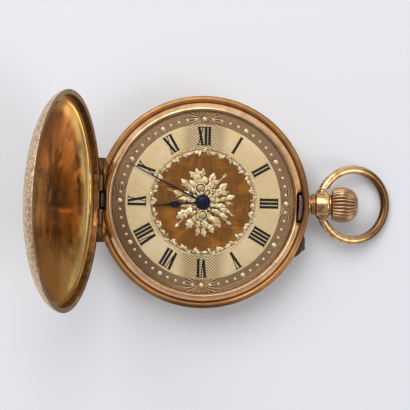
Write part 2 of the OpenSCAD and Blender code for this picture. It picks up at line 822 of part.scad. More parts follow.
module main_plate() color("gold") fitted() {
    difference() {
        union() {
            rod(own_plate_r, plate_z, dial_z);
            rod(dial_r / movement_k, flange_z + 0.01, dial_z);
        }
        rod(2.35, flange_z, dial_z + past);
        rod(2.15, flange_z, dial_z + past, minute_at);
        rod(3.35, flange_z, dial_z + past, setting_at);
        rod(centre_arbor_r + play, 0, through_z);
        rod_x(stem_r + play, 8, 16);
        block(square_x, square_x + winding_room, -winding_room_w / 2, winding_room_w / 2,
            plate_z - past, dial_z + past);
        block(stem_end_x, square_x + 0.1, -sliding_room_w / 2, sliding_room_w / 2,
            plate_z - past, dial_z + past);
        rotate(push_angle) block(11, 16, -0.75, 0.75, plate_z - past, flange_z);
        for (p = pivots) rod(pivot_hole_r, plate_z - past, plate_z + 0.6, p);
        for (a = feet_dirs) rod(foot_r, 0, 2 * dial_z, polar(feet_r, a));
        for (a = screw_dirs) rod(case_thread_r, 0, plate_z + 0.8, polar(screw_r, a));
        for (p = bridge_screw_at) rod(bridge_thread_r, 0, plate_z + 0.7, p);
        rod(balance_r + balance_room - gap, plate_z - past, plate_z + 0.08, balance_at);
    }
    difference() {
        rod(setting_post_r, flange_z - 0.01, flange_z + 0.5, setting_at);
        rod(pivot_hole_r, 0, through_z, setting_at);
    }
    rod(minute_post_r, flange_z - 0.01, flange_z + 0.85, minute_at);
    rod(yoke_post_r, plate_z - 0.5, plate_z + 0.01, yoke_at);
}

// Axes of the wheels that turn between the plate and the bridges
pivots = [third_at, fourth_at, escape_at, pallet_at, balance_at, barrel_at];
// Pivot of the setting yoke
yoke_at = [10.2, -5.6];
// Places of the screws that hold the bridges
bridge_screw_r = own_plate_r - 1.8;
bridge_screw_at = [for (a = [52, 20, 105, 168, 232, cock_dir + 8]) polar(bridge_screw_r, a)];

// The three parts of the disc that the bridges share
module barrel_field() {
    intersection() {
        circle(r = bridge_r);
        polygon([[0.9, -1.6], [7.2, -2.4], [7.6, -3.4], [20, -3.4], [20, 20], [0.2, 20],
            [-0.6, 5], [0.9, 2]]);
    }
}

module train_field() {
    difference() {
        circle(r = bridge_r);
        barrel_and_balance_field();
    }
}

module barrel_and_balance_field() {
    polygon([[0.8, -1.7], [7.15, -2.5], [7.55, -3.5], [20, -3.5], [20, 20.1], [0.1, 20.1],
        [-0.7, 5], [0.8, 1.98]]);
    polygon([[0.8, -1.7], [7.15, -2.5], [20, -3.4], [20, -20], [-3, -20], [-2, -10]]);
}

module cavities() {
    rod(3.45, cavity_z, plate_z + past);
    rod(5.12, cavity_z, plate_z + past, barrel_at);
    rod(2.95, cavity_z, plate_z + past, third_at);
    rod(2.85, cavity_z, plate_z + past, fourth_at);
    rod(2.15, cavity_z, plate_z + past, escape_at);
    rod(balance_r + balance_room, bridge_z - past, plate_z + past, balance_at);
    rod(2.6, cavity_z, plate_z + past, pallet_at);
    block(stem_end_x, square_x + 0.12, -sliding_room_w / 2, sliding_room_w / 2,
        axis_z - 1.3, plate_z + past);
    block(square_x, square_x + winding_room, -winding_room_w / 2, winding_room_w / 2,
        bridge_z - past, plate_z + past);
    rod_x(stem_r + play, 8, 16);
    rotate(push_angle) block(10.5, 16, -0.8, 0.8, axis_z - 0.75, plate_z + past);
    block(square_x - 1.7, square_x, -4, 0, plate_z - 0.5, plate_z + past);
    for (a = screw_dirs)
        rod(case_head_room, bridge_z - past, plate_z + past, polar(screw_r, a));
    for (p = bridge_screw_at) rod(bridge_thread_r, 0, plate_z + 0.7, p);
}

module barrel_bridge() color("gold") fitted() {
    difference() {
        translate([0, 0, bridge_z]) linear_extrude(plate_z - bridge_z) barrel_field();
        cavities();
        rod(3.25, bridge_z - past, bridge_z + 0.4, barrel_at);
        rod(2.75, bridge_z - past, bridge_z + 0.72, crown_wheel_at);
        rod(0.6 + play, 0, through_z, barrel_at);
        rod(wheel_thread_r, 0, cavity_z - 0.2, crown_wheel_at);
        rod(click_stud_r, 0, cavity_z - 0.2, click_at);
        block(click_at[0] - 1.2, click_at[0] + 1.6, click_at[1] - 1.2, click_at[1] + 2,
            bridge_z - past, bridge_z + 0.32);
    }
    difference() {
        rod(crown_hub_r, bridge_z + 0.06, bridge_z + 0.75, crown_wheel_at);
        rod(wheel_thread_r, 0, through_z, crown_wheel_at);
    }
}

module train_bridge() color("gold") fitted() {
    difference() {
        translate([0, 0, bridge_z]) linear_extrude(plate_z - bridge_z) train_field();
        cavities();
        rod(centre_jewel_r, 0, through_z);
        for (p = [third_at, fourth_at, escape_at]) rod(jewel_r, 0, through_z, p);
    }
}

module balance_cock() color("gold") fitted() {
    difference() {
        union() {
            rod(0.95, bridge_z, bridge_z + 0.6, balance_at);
            translate([balance_at[0], balance_at[1], bridge_z]) rotate(cock_dir)
                translate([0, -0.9, 0]) cube([5.5, 1.8, 0.6]);
            translate([0, 0, bridge_z]) linear_extrude(plate_z - bridge_z) intersection() {
                circle(r = bridge_r);
                difference() {
                    polygon([[2.5, -20], [14, -20], [14, -6.6], [balance_at[0], balance_at[1]]]);
                    translate(balance_at) circle(r = balance_r + balance_room);
                }
            }
        }
        rod(jewel_r, 0, through_z, balance_at);
        for (p = bridge_screw_at) rod(bridge_thread_r, 0, plate_z + 0.7, p);
    }
}

module pallet_bridge() color("gold") fitted() {
    translate([pallet_at[0], pallet_at[1], 0]) rotate(lever_dir + 90) difference() {
        union() {
            translate([0, -0.45, plate_z - 0.6]) cube([2.35, 0.9, 0.14]);
            rod(0.45, plate_z - 0.6, plate_z - 0.46);
            translate([1.75, -0.45, plate_z - 0.6]) cube([0.6, 0.9, 0.6]);
        }
        rod(pivot_r, 0, through_z);
    }
}

// Heights in the barrel
barrel_z = cavity_z + 0.37;

module barrel() color("gold") fitted() {
    top = plate_z - 0.08;
    translate([barrel_at[0], barrel_at[1], 0]) difference() {
        union() {
            gear(barrel_n, barrel_m, top - 0.37, top, barrel_turn);
            rod(4.6, barrel_z, top - 0.3);
        }
        rod(4.4, barrel_z + 0.12, top - 0.12);
        rod(barrel_arbor_r + play, 0, through_z);
    }
}

// The square of the arbor, which the ratchet wheel sits on
module arbor_key(z0, z1) {
    block(-arbor_square / 2, arbor_square / 2, -arbor_square / 2, arbor_square / 2, z0, z1);
}

module barrel_arbor() color("silver") fitted() {
    translate([barrel_at[0], barrel_at[1], 0]) {
        rod(barrel_arbor_r, bridge_z + 0.45, plate_z - 0.03);
        rod(1.1, barrel_z + 0.16, plate_z - 0.24);
        rod(pivot_r, plate_z - 0.1, plate_z + 0.5);
        arbor_key(bridge_z + 0.02, bridge_z + 0.52);
    }
}

module mainspring() color("slategray") fitted() {
    translate([barrel_at[0], barrel_at[1], barrel_z + 0.18])
        linear_extrude(plate_z - barrel_z - 0.44) polygon(spiral(1.25, 4.28, 0.1, 9));
}

module ratchet_wheel() color("silver") fitted() {
    translate([barrel_at[0], barrel_at[1], 0]) difference() {
        gear(ratchet_n, wind_m, bridge_z + 0.03, bridge_z + 0.33, ratchet_turn);
        arbor_key(0, through_z);
    }
}

module crown_wheel() color("silver") fitted() {
    translate([crown_wheel_at[0], crown_wheel_at[1], 0]) difference() {
        union() {
            gear(crown_n, wind_m, bridge_z + 0.03, bridge_z + 0.35, crown_wheel_turn);
            difference() {
                rod(2.42, bridge_z + 0.35, bridge_z + 0.66);
                rod(2, 0, through_z);
                for (i = [0:crown_n - 1]) rotate(360 / crown_n * i)
                    block(1.8, 3, -0.19, 0.19, bridge_z + 0.4, bridge_z + past);
            }
        }
        rod(crown_hub_r + play, 0, through_z);
    }
}

// Pivot of the click, beside the ratchet wheel
click_at = barrel_at + polar(4.35, 112);

module click() color("silver") fitted() {
    translate([click_at[0], click_at[1], bridge_z + 0.04]) linear_extrude(0.26) difference() {
        union() {
            circle(r = 0.5);
            polygon([[0.1, -0.5], [1.5, -0.55], [1.35, -0.2], [0, 0.5]]);
        }
        circle(r = click_stud_r + play);
    }
}

module click_spring() color("silver") fitted() {
    translate([click_at[0], click_at[1], bridge_z + 0.04]) linear_extrude(0.2)
        polygon([[-0.9, 0.62], [1.4, 0.35], [1.4, 0.45], [-0.5, 0.85], [-0.5, 1.3], [-0.9, 1.3]]);
}

module set_yoke() color("silver") fitted() {
    translate([0, 0, plate_z - 0.42]) linear_extrude(0.3) difference() {
        union() {
            translate(yoke_at) circle(r = 0.6);
            polygon([yoke_at + [-0.35, 0], yoke_at + [0.45, 0], [10.78, -0.92], [10.57, -0.92]]);
            polygon([yoke_at + [0, 0.55], yoke_at + [0, -0.4], [11.7, -5.3], [11.8, -5]]);
        }
        translate(yoke_at) circle(r = yoke_post_r + play);
    }
}

// An arbor with pivots in the plate and the bridge
module arbor(z0, z1, r = 0.2) {
    rod(r, z0, z1);
    rod(pivot_r, bridge_z + 0.2, plate_z + 0.5);
}

module centre_wheel() color("gold") fitted() {
    train_wheel(centre_n, centre_m, cavity_z + 0.1, cavity_z + 0.27, 0.6, 0.2, 5);
    gear(centre_leaves, barrel_m, plate_z - 0.55, plate_z - 0.05);
    rod(centre_arbor_r, bridge_z + 0.2, dial_z + dial_t + 0.5);
}

module third_wheel() color("gold") fitted() {
    translate([third_at[0], third_at[1], 0]) {
        train_wheel(third_n, third_m, plate_z - 0.65, plate_z - 0.48, 0.45, 0.15, 5);
        gear(third_leaves, centre_m, cavity_z + 0.07, cavity_z + 0.42, third_leaf_turn);
        arbor(cavity_z + 0.05, plate_z - 0.02);
    }
}

module fourth_wheel() color("gold") fitted() {
    translate([fourth_at[0], fourth_at[1], 0]) {
        train_wheel(fourth_n, fourth_m, cavity_z + 0.5, cavity_z + 0.65, 0.4, 0.15, 5);
        gear(fourth_leaves, third_m, plate_z - 0.7, plate_z - 0.3, fourth_leaf_turn);
        arbor(cavity_z + 0.05, plate_z - 0.02);
    }
}

module escape_wheel() color("gold") fitted() {
    translate([escape_at[0], escape_at[1], 0]) {
        translate([0, 0, plate_z - 0.4]) linear_extrude(0.16) difference() {
            polygon([for (i = [0:escape_n - 1]) for (k = [0:2])
                polar([1.5, 1.95, 1.5][k], 24 * i + [0, 7, 9][k])]);
            difference() {
                circle(r = 1.3);
                circle(r = 0.4);
                for (a = [0:90:270]) rotate(a) translate([0, -0.1]) square([1.5, 0.2]);
            }
        }
        gear(escape_leaves, fourth_m, cavity_z + 0.4, cavity_z + 0.75, escape_leaf_turn);
        arbor(cavity_z + 0.05, plate_z - 0.02, 0.16);
    }
}

module pallet_fork() color("silver") fitted() {
    translate([pallet_at[0], pallet_at[1], 0]) rotate(lever_dir) {
        translate([0, 0, plate_z - 0.4]) linear_extrude(0.16) {
            circle(r = 0.3);
            for (s = [0, 1]) mirror([0, s]) {
                polygon([[-0.1, 0], [0.12, 0], [-0.25, 1.2], [-0.48, 1.2]]);
                translate([-0.3, 1.02]) rotate(28) translate([-0.3, 0]) square([0.45, 0.2]);
                polygon([[2.05, 0.06], [2.32, 0.12], [2.34, 0.34], [1.95, 0.2]]);
            }
            polygon([[0, 0.14], [2.1, 0.1], [2.1, -0.1], [0, -0.14]]);
        }
        rod(0.14, plate_z - 0.44, plate_z - 0.02);
        rod(fine_pivot_r, plate_z - 0.58, plate_z + 0.4);
    }
}

module balance_wheel() color("gold") fitted() {
    z0 = cavity_z + 0.42;
    translate([balance_at[0], balance_at[1], 0]) {
        difference() {
            rod(balance_r, z0, z0 + 0.35);
            rod(balance_r - 0.35, z0 - past, z0 + past);
        }
        difference() {
            union() {
                rod(0.55, z0 + 0.06, z0 + 0.24);
                block(-balance_r + 0.1, balance_r - 0.1, -0.3, 0.3, z0 + 0.06, z0 + 0.24);
            }
            rod(staff_r, 0, through_z);
        }
        for (i = [0:11]) rotate(15 + 30 * i) translate([balance_r - 0.1, 0, z0 + 0.175])
            rotate([0, 90, 0]) cylinder(r = 0.15, h = 0.42);
    }
}

module balance_staff() color("silver") fitted() {
    translate([balance_at[0], balance_at[1], 0]) {
        rod(staff_r, cavity_z + 0.06, plate_z - 0.1);
        rod(0.42, plate_z - 0.62, plate_z - 0.5);
        rod(fine_pivot_r, bridge_z + 0.2, plate_z + 0.4);
        rotate(lever_dir + 180) translate([0.34, 0, plate_z - 0.55]) cylinder(r = 0.07, h = 0.4);
    }
}

module hairspring() color("steelblue") fitted() {
    translate([balance_at[0], balance_at[1], cavity_z + 0.1]) linear_extrude(0.15)
        polygon(spiral(0.45, 1.95, 0.05, 10));
}

module regulator() color("silver") fitted() {
    translate([balance_at[0], balance_at[1], bridge_z - 0.22]) difference() {
        union() {
            rod(0.8, 0, 0.2);
            rotate(regulator_dir) linear_extrude(0.2)
                polygon([[-1.6, -0.15], [0, -0.3], [3, -0.06], [3, 0.06], [0, 0.3], [-1.6, 0.15]]);
        }
        rod(jewel_r + play, -past, past);
    }
}

module jewels() color("crimson") fitted() {
    for (p = [third_at, fourth_at, escape_at, balance_at]) difference() {
        rod(jewel_r, bridge_z + (p == balance_at ? -0.2 : 0.05), bridge_z + 0.5, p);
        rod(pivot_hole_r, bridge_z + 0.1, through_z, p);
    }
    difference() {
        rod(centre_jewel_r, bridge_z + 0.05, bridge_z + 0.6);
        rod(centre_arbor_r + play, bridge_z + 0.1, through_z);
    }
}

module bridge_screws() color("steelblue") fitted() {
    for (p = bridge_screw_at) {
        rod(bridge_thread_r, bridge_z - 0.01, plate_z + 0.6, p);
        difference() {
            rod(0.5, bridge_z - 0.2, bridge_z, p);
            translate([p[0], p[1], bridge_z - 0.2]) cube([1.2, 0.13, 0.16], center = true);
        }
    }
}

module wheel_screws() color("steelblue") fitted() {
    rod(wheel_thread_r, bridge_z - 0.05, cavity_z - 0.22, crown_wheel_at);
    rod(0.9, bridge_z - 0.14, bridge_z + 0.02, crown_wheel_at);
    rod(click_stud_r, bridge_z - 0.12, cavity_z - 0.22, click_at);
    rod(0.42, bridge_z - 0.12, bridge_z + 0.03, click_at);
}

case_middle();
bezel();
crystal();
front_cover();
back_cover();
cuvette();
front_hinge_pins();
back_hinge_pin();
cuvette_hinge_pin();
lift_spring();
lock_spring();
spring_screws();
pendant();
push_sleeve();
bow();
crown();
winding_stem();
set_push();
push_guard();
movement_screws();
dial();
hour_hand();
minute_hand();
cannon_pinion();
hour_wheel();
minute_wheel();
setting_wheel();
main_plate();
barrel_bridge();
train_bridge();
balance_cock();
pallet_bridge();
barrel();
barrel_arbor();
mainspring();
ratchet_wheel();
crown_wheel();
click();
click_spring();
winding_pinion();
sliding_pinion();
set_yoke();
centre_wheel();
third_wheel();
fourth_wheel();
escape_wheel();
pallet_fork();
balance_wheel();
balance_staff();
hairspring();
regulator();
jewels();
bridge_screws();
wheel_screws();
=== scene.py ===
import math
import random
import bmesh
import bpy
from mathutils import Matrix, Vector

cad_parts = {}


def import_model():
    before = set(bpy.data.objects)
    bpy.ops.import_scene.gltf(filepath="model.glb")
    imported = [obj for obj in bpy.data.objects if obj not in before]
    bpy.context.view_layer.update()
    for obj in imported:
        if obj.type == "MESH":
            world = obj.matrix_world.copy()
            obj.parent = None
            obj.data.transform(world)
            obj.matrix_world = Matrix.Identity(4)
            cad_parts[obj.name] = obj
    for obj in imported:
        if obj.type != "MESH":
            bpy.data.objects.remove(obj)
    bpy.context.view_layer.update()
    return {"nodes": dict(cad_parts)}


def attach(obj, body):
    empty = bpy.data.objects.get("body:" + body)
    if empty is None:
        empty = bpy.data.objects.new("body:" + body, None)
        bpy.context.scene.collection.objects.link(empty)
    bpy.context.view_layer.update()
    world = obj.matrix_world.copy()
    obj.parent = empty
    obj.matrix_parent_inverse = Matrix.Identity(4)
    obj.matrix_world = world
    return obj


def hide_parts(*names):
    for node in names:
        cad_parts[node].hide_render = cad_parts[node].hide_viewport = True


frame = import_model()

MM = 0.001
TAU = 2 * math.pi

# Measures that the pieces share with the solids, in mm
LEDGE_Z = 6.6           # seat of the front cover
BACK_H = 3.0            # seat of the back cover
AXIS_Z = 4.4            # axis of the crown and the pendant
COVER_R = 16.99
RIM_R = 16.2            # inside of the covers' rims
COVER_H = 3.69
SHELL_T = 0.42          # thickness of the covers
COVER_FLAT_R = 5.0
BACK_FLAT_R = 9.5
COVER_LIFT = 0.02       # between a shut cover and its seat
HINGE_X = 16.55         # from the middle of the case to its hinges
HINGE_GAP = 2.9         # between the two knuckles of a cover
HINGE_SPLIT = 8.0       # over both of them
KNUCKLE_R = 0.6
OPEN_ANGLE = math.radians(103.5)
LID_MIDDLE = Vector((HINGE_X * (math.cos(OPEN_ANGLE) - 1), 0,
                     LEDGE_Z + HINGE_X * math.sin(OPEN_ANGLE)))
DIAL_Z = 6.65
DIAL_UNDER_Z = 6.3
DIAL_R = 14.55
HOLE_R = 0.96
CROWN_X = 20.75
CROWN_R = 2.85
CROWN_LEN = 4.2
FLUTES = 28
BOW_X = 19.2            # pivot of the bow
BOW_R = 5.71
BOW_WIRE = 0.72         # radius of its wire
BOW_END_Y = 2.5         # inner faces of its ends
BOW_SET = 0.22          # how far these stand out beyond the pivot
BOW_PIN_R = 0.36
BOW_PIN_Y = 1.67        # inner ends of its pins
BOW_GAP = 0.02          # under the bow, which droops almost to the floor
BOW_REACH = math.sqrt(BOW_R ** 2 - BOW_END_Y ** 2) + BOW_SET
DROOP = math.asin((AXIS_Z - BOW_WIRE - BOW_GAP) / (BOW_REACH + BOW_R))
HOUR_LEN = 8.17
MINUTE_LEN = 13.4
TIME_SHOWN = 529.5      # minutes past twelve

# Zones of the dial, in mm from its centre
CENTRE_R = 8.42
CHAPTER_R = 12.42
BEAD_R = 13.31
RIBS_R = 14.0
NUMERAL_IN = 9.09
NUMERAL_OUT = 12.06

# Levels of the dial, in mm: its flat, the foot of leaves and numerals, and that of the beads
PLATE_Z = DIAL_Z - 0.05
ROOT_Z = DIAL_Z - 0.06
SUNK_Z = DIAL_Z - 0.07


class Graph:
    """The nodes of one material, each method adding a node and giving back its output."""
    def __init__(self, tree):
        self.tree = tree

    def node(self, kind, values=(), **props):
        n = self.tree.nodes.new("ShaderNode" + kind)
        for key, value in props.items():
            setattr(n, key, value)
        for key, value in dict(values).items():
            self.put(n.inputs[key], value)
        return n

    def put(self, socket, value):
        if isinstance(value, bpy.types.NodeSocket):
            self.tree.links.new(value, socket)
        elif value is not None:
            socket.default_value = value

    def place(self):
        return self.node("TexCoord").outputs["Object"]

    def xyz(self, vector):
        return tuple(self.node("SeparateXYZ", {0: vector}).outputs)

    def math(self, op, a, b=None, c=None):
        return self.node("Math", {0: a, 1: b, 2: c}, operation=op).outputs[0]

    def vector(self, op, a, b=None, scale=None):
        n = self.node("VectorMath", {0: a, 1: b}, operation=op)
        if scale:
            self.put(n.inputs["Scale"], scale)
        return n.outputs["Value" if op in ("LENGTH", "DOT_PRODUCT") else "Vector"]

    def noise(self, at, scale, detail=4, distort=0.0, output="Fac"):
        values = {"Vector": at, "Scale": scale, "Detail": detail, "Distortion": distort}
        return self.node("TexNoise", values).outputs[output]

    def warped(self, at, scale, reach):
        """Places pushed about by a noise of this scale, so that a pattern over them bends."""
        drift = self.noise(at, scale, 2, output="Color")
        drift = self.vector("SUBTRACT", drift, (0.5, 0.5, 0.5))
        return self.vector("ADD", at, self.vector("SCALE", drift, scale=reach))

    def span(self, value, f0, f1, t0=0.0, t1=1.0, soft=False):
        """Takes values from f0 to f1 over to t0 to t1, and holds them there beyond."""
        values = {"Value": value, "From Min": f0, "From Max": f1, "To Min": t0, "To Max": t1}
        kind = "SMOOTHSTEP" if soft else "LINEAR"
        return self.node("MapRange", values, interpolation_type=kind).outputs["Result"]

    def mix(self, fac, a, b, blend="MIX"):
        """Mixes two colours; inputs 6 and 7 and output 2 are a Mix node's colour sockets."""
        n = self.node("Mix", {0: fac}, data_type="RGBA", blend_type=blend)
        for socket, colour in ((6, a), (7, b)):
            self.put(n.inputs[socket], (*colour, 1) if isinstance(colour, tuple) else colour)
        return n.outputs[2]

    def ramp(self, fac, low, high, p0=0.3, p1=0.7):
        return self.mix(self.span(fac, p0, p1), low, high)


def new_material(name):
    """A material, the graph of its nodes, and its shader."""
    m = bpy.data.materials.new(name)
    m.use_nodes = True
    return m, Graph(m.node_tree), m.node_tree.nodes["Principled BSDF"]


def surface(name, base, dark, rough, metal=1.0, grain=900, stretch=(1, 1, 1), bump=0.001,
            pattern=None, edge=None, hollow=None, rough_vary=0.06, painted_shade=None, shine=0.5):
    """A material whose colour and gloss vary with a fine noise, with a bump of this depth in mm.

    The pattern comes first, then the colours of hollows and edges, and the painted shade over them
    all.
    """
    m, g, shader = new_material(name)
    at = g.place()
    fine = g.noise(g.vector("MULTIPLY", at, stretch), grain)
    colour, height = g.ramp(fine, dark, base), fine
    gloss = g.noise(at, grain / 9, 6)
    smoothest = max(0.03, rough - rough_vary)
    if pattern:
        colour, height = pattern(g, at, colour, height)
    # Pointiness darkens hollows and pales edges; on the crown and the raised gold these are painted
    # shade and painted highlights.
    if edge or hollow:
        point = g.node("NewGeometry").outputs["Pointiness"]
        if hollow:
            colour = g.mix(g.span(point, 0.38, 0.5), hollow, colour)
        if edge:
            colour = g.mix(g.span(point, 0.5, 0.62), colour, edge)
    # Painted shade laid over all the colours of the look.
    if painted_shade:
        colour = painted_shade(g, at, colour)
    bumped = g.node("Bump", {"Strength": 1.0, "Distance": bump * MM, "Height": height})
    for socket, value in (("Base Color", colour), ("Metallic", metal),
                          ("Roughness", g.span(gloss, 0.3, 0.7, smoothest, rough + rough_vary)),
                          ("Specular IOR Level", shine), ("Normal", bumped.outputs["Normal"])):
        g.put(shader.inputs[socket], value)
    return m


def scrolls(scale, dark, lines):
    """Engraved scrolls: warped cells whose borders are cut dark and low, with rings in them."""
    def build(g, at, colour, height):
        bent = g.warped(at, scale * 0.6, 2.2 / scale)
        cells = g.node("TexVoronoi", {"Vector": bent, "Scale": scale}, feature="DISTANCE_TO_EDGE")
        cut = g.span(cells.outputs["Distance"], 0.02, 0.2, soft=True)
        wave = {"Vector": bent, "Scale": scale * 0.5, "Distortion": 9, "Detail": 2}
        rings = g.node("TexWave", wave, wave_type="RINGS").outputs["Fac"]
        both = g.math("MULTIPLY_ADD", rings, lines, cut)
        return g.mix(g.span(both, 0.1, 1.2), dark, colour), g.math("ADD", both, height)
    return build


def patina(scale, brown, amber, amount, stretch=(1, 1, 1)):
    """Large soft patches of patina over a polished or brushed metal."""
    def build(g, at, colour, height):
        patch = g.noise(g.vector("MULTIPLY", at, stretch), scale, 3, 1.2)
        spot = g.noise(at, scale * 3.1)
        stained = g.mix(g.span(patch, 0.42, 0.62, soft=True), brown, amber)
        fac = g.math("MULTIPLY", g.span(spot, 0.35, 0.6), amount)
        return g.mix(fac, colour, stained), height
    return build


def painted_shade_along(axis, near, far, amount, dark):
    """Painted shade that grows along an axis, from one place in mm to another."""
    def build(g, at, colour):
        way = g.vector("DOT_PRODUCT", at, axis)
        return g.mix(g.span(way, near * MM, far * MM, 0.0, amount, soft=True), colour, dark)
    return build


def case_side_shade_and_dark_hinge(g, at, colour):
    """Painted shade that darkens the gold of the case beside three and six, and dark brown round
    its hinge.
    """
    x, y, _ = g.xyz(at)
    # Painted shade on the sides towards three and six.
    side = g.math("MAXIMUM", x, g.math("MULTIPLY", y, -1.0))
    side = g.span(side, 14.6 * MM, 16.6 * MM, 0.0, 0.72, soft=True)
    colour = g.mix(side, colour, (0.105, 0.042, 0.014))
    near = g.span(x, -15.6 * MM, -16.3 * MM, 0.0, 0.88, soft=True)
    within = g.span(g.math("ABSOLUTE", y), 6.6 * MM, 7.4 * MM, 1.0, 0.0)
    return g.mix(g.math("MULTIPLY", near, within), colour, (0.085, 0.042, 0.017))


def leaf_foot_shade(g, at, colour):
    """Painted shade: brown round the foot of the raised leaves, close to the dial."""
    height = g.xyz(at)[2]
    foot = g.span(height, PLATE_Z * MM, (DIAL_Z + 0.04) * MM, 0.85, 0.0, soft=True)
    return g.mix(foot, colour, (0.20, 0.095, 0.018))


# Streaks for the inside of the open cover, partly wear and partly painted reflections.
WORN_AND_REFLECTED_STREAKS = patina(190, (0.050, 0.020, 0.006), (0.66, 0.31, 0.060), 0.95, (1, 0.30, 1))


def worn_and_reflected_inside(g, at, colour, height):
    """The inside of the open cover.

    Brown and amber streaks and patches, partly wear and partly painted reflections. Painted
    reflections also make it darker at its top, with paler gold low down and round its wall by the
    hinge. It has soft dents too.
    """
    # Brown and amber streaks and cell patches, partly wear and partly painted reflections.
    colour, height = WORN_AND_REFLECTED_STREAKS(g, at, colour, height)
    bent = g.vector("MULTIPLY", g.warped(at, 260, 9 * MM), (1, 0.36, 1))
    cells = g.node("TexVoronoi", {"Vector": bent, "Scale": 290}).outputs["Color"]
    kind = g.node("SeparateColor", {0: cells}).outputs[0]
    colour = g.mix(g.span(kind, 0.36, 0.26, 0.0, 0.6), colour, (0.085, 0.036, 0.012))
    colour = g.mix(g.span(kind, 0.66, 0.84, 0.0, 0.55), colour, (0.78, 0.44, 0.13))
    # Painted reflections: darker gold at the top, paler gold low down and round the wall by the
    # hinge.
    away = g.vector("SUBTRACT", at, tuple(LID_MIDDLE * MM))
    up = g.vector("DOT_PRODUCT", away, (math.cos(OPEN_ANGLE), 0, math.sin(OPEN_ANGLE)))
    across = g.vector("DOT_PRODUCT", away, (0, 1, 0))
    squares = g.math("ADD", g.math("MULTIPLY", up, up), g.math("MULTIPLY", across, across))
    wall = g.span(g.math("SQRT", squares), 13.2 * MM, 14.9 * MM, 0.0, 0.9, soft=True)
    wall = g.math("MULTIPLY", wall, g.span(up, 9 * MM, -1 * MM, soft=True))
    low = g.span(across, -4.5 * MM, -12.0 * MM, 0.0, 0.70, soft=True)
    top = g.span(across, 2 * MM, 10 * MM, 0.0, 0.62, soft=True)
    colour = g.mix(top, colour, (0.14, 0.058, 0.013))
    colour = g.mix(g.math("MAXIMUM", low, wall), colour, (0.92, 0.76, 0.40))
    return colour, g.math("MULTIPLY_ADD", height, 0.03, g.noise(at, 130, 3))


def from_axes(g, at):
    """Distances in metres from the dial's lines through twelve and six, and three and nine."""
    return g.xyz(g.vector("ABSOLUTE", at))[:2]


def chapter_cuts(g, at, colour, height):
    """Cut fans at the quarters of the chapter ring, and fine rings outside its beads."""
    across = g.math("MINIMUM", *from_axes(g, at))
    radius = g.vector("LENGTH", g.vector("MULTIPLY", at, (1, 1, 0)))
    beyond = g.math("SUBTRACT", radius, BEAD_R * MM)
    angle = g.math("ARCTAN2", beyond, g.math("ADD", across, 0.1 * MM))
    near = g.span(across, 1.2 * MM, 3.2 * MM, 1.5, 0.0, soft=True)
    fan = g.math("MULTIPLY", g.math("SINE", g.math("MULTIPLY", angle, 30)), near)
    ring_pitch = 0.19 * MM
    rings = g.math("SINE", g.math("MULTIPLY", radius, TAU / ring_pitch))
    rings = g.math("MULTIPLY", rings, g.span(radius, 13.75 * MM, 13.85 * MM, 0.12, 0.55))
    lines = g.math("ADD", fan, rings)
    paler = g.mix(0.35, colour, (0.78, 0.52, 0.28))
    return g.mix(g.span(lines, -0.9, 0.9), (0.075, 0.038, 0.014), paler), lines


def fan_cuts(g, at, colour, height):
    """Curved lines beside twelve and six, and a faint grain over the rest of the numeral ring."""
    x, y = from_axes(g, at)
    away = {0: g.math("ADD", x, 2.6 * MM), 1: g.math("SUBTRACT", y, 15.4 * MM)}
    reach = g.vector("LENGTH", g.node("CombineXYZ", away).outputs[0])
    arc_pitch = 0.34 * MM
    arc = g.math("SINE", g.math("MULTIPLY", reach, TAU / arc_pitch))
    near = g.span(x, 2.2 * MM, 4.4 * MM, 1.0, 0.0, soft=True)
    shade = g.math("MULTIPLY", near, g.span(arc, -0.4, 0.8, 0.85, 0.0))
    pale = g.span(g.noise(at, 240, 3), 0.42, 0.62, 0.0, 0.6, soft=True)
    colour = g.mix(pale, colour, (0.80, 0.66, 0.44))
    return g.mix(shade, colour, (0.20, 0.12, 0.035)), g.math("MULTIPLY_ADD", arc, 0.5, height)


def brushed_brown(g, at, colour, height):
    """Orange and dark patches on the brushed brown centre."""
    patch = g.span(g.noise(at, 330, 4, 0.8), 0.44, 0.68, 0.0, 0.75, soft=True)
    warm = g.mix(patch, colour, (0.50, 0.205, 0.022))
    weave = g.noise(g.vector("MULTIPLY", at, (0.12, 1.6, 1)), 2600, 2)
    return g.mix(g.span(weave, 0.3, 0.7, 0.0, 0.4), warm, (0.11, 0.045, 0.008)), height


def glass():
    """Clear thin crystal with a faint gloss."""
    m, g, shader = new_material("crystal_glass")
    for socket, value in (("Base Color", (0.12, 0.12, 0.13, 1)), ("Roughness", 0.03),
                          ("IOR", 1.5), ("Alpha", 0.035)):
        g.put(shader.inputs[socket], value)
    return m


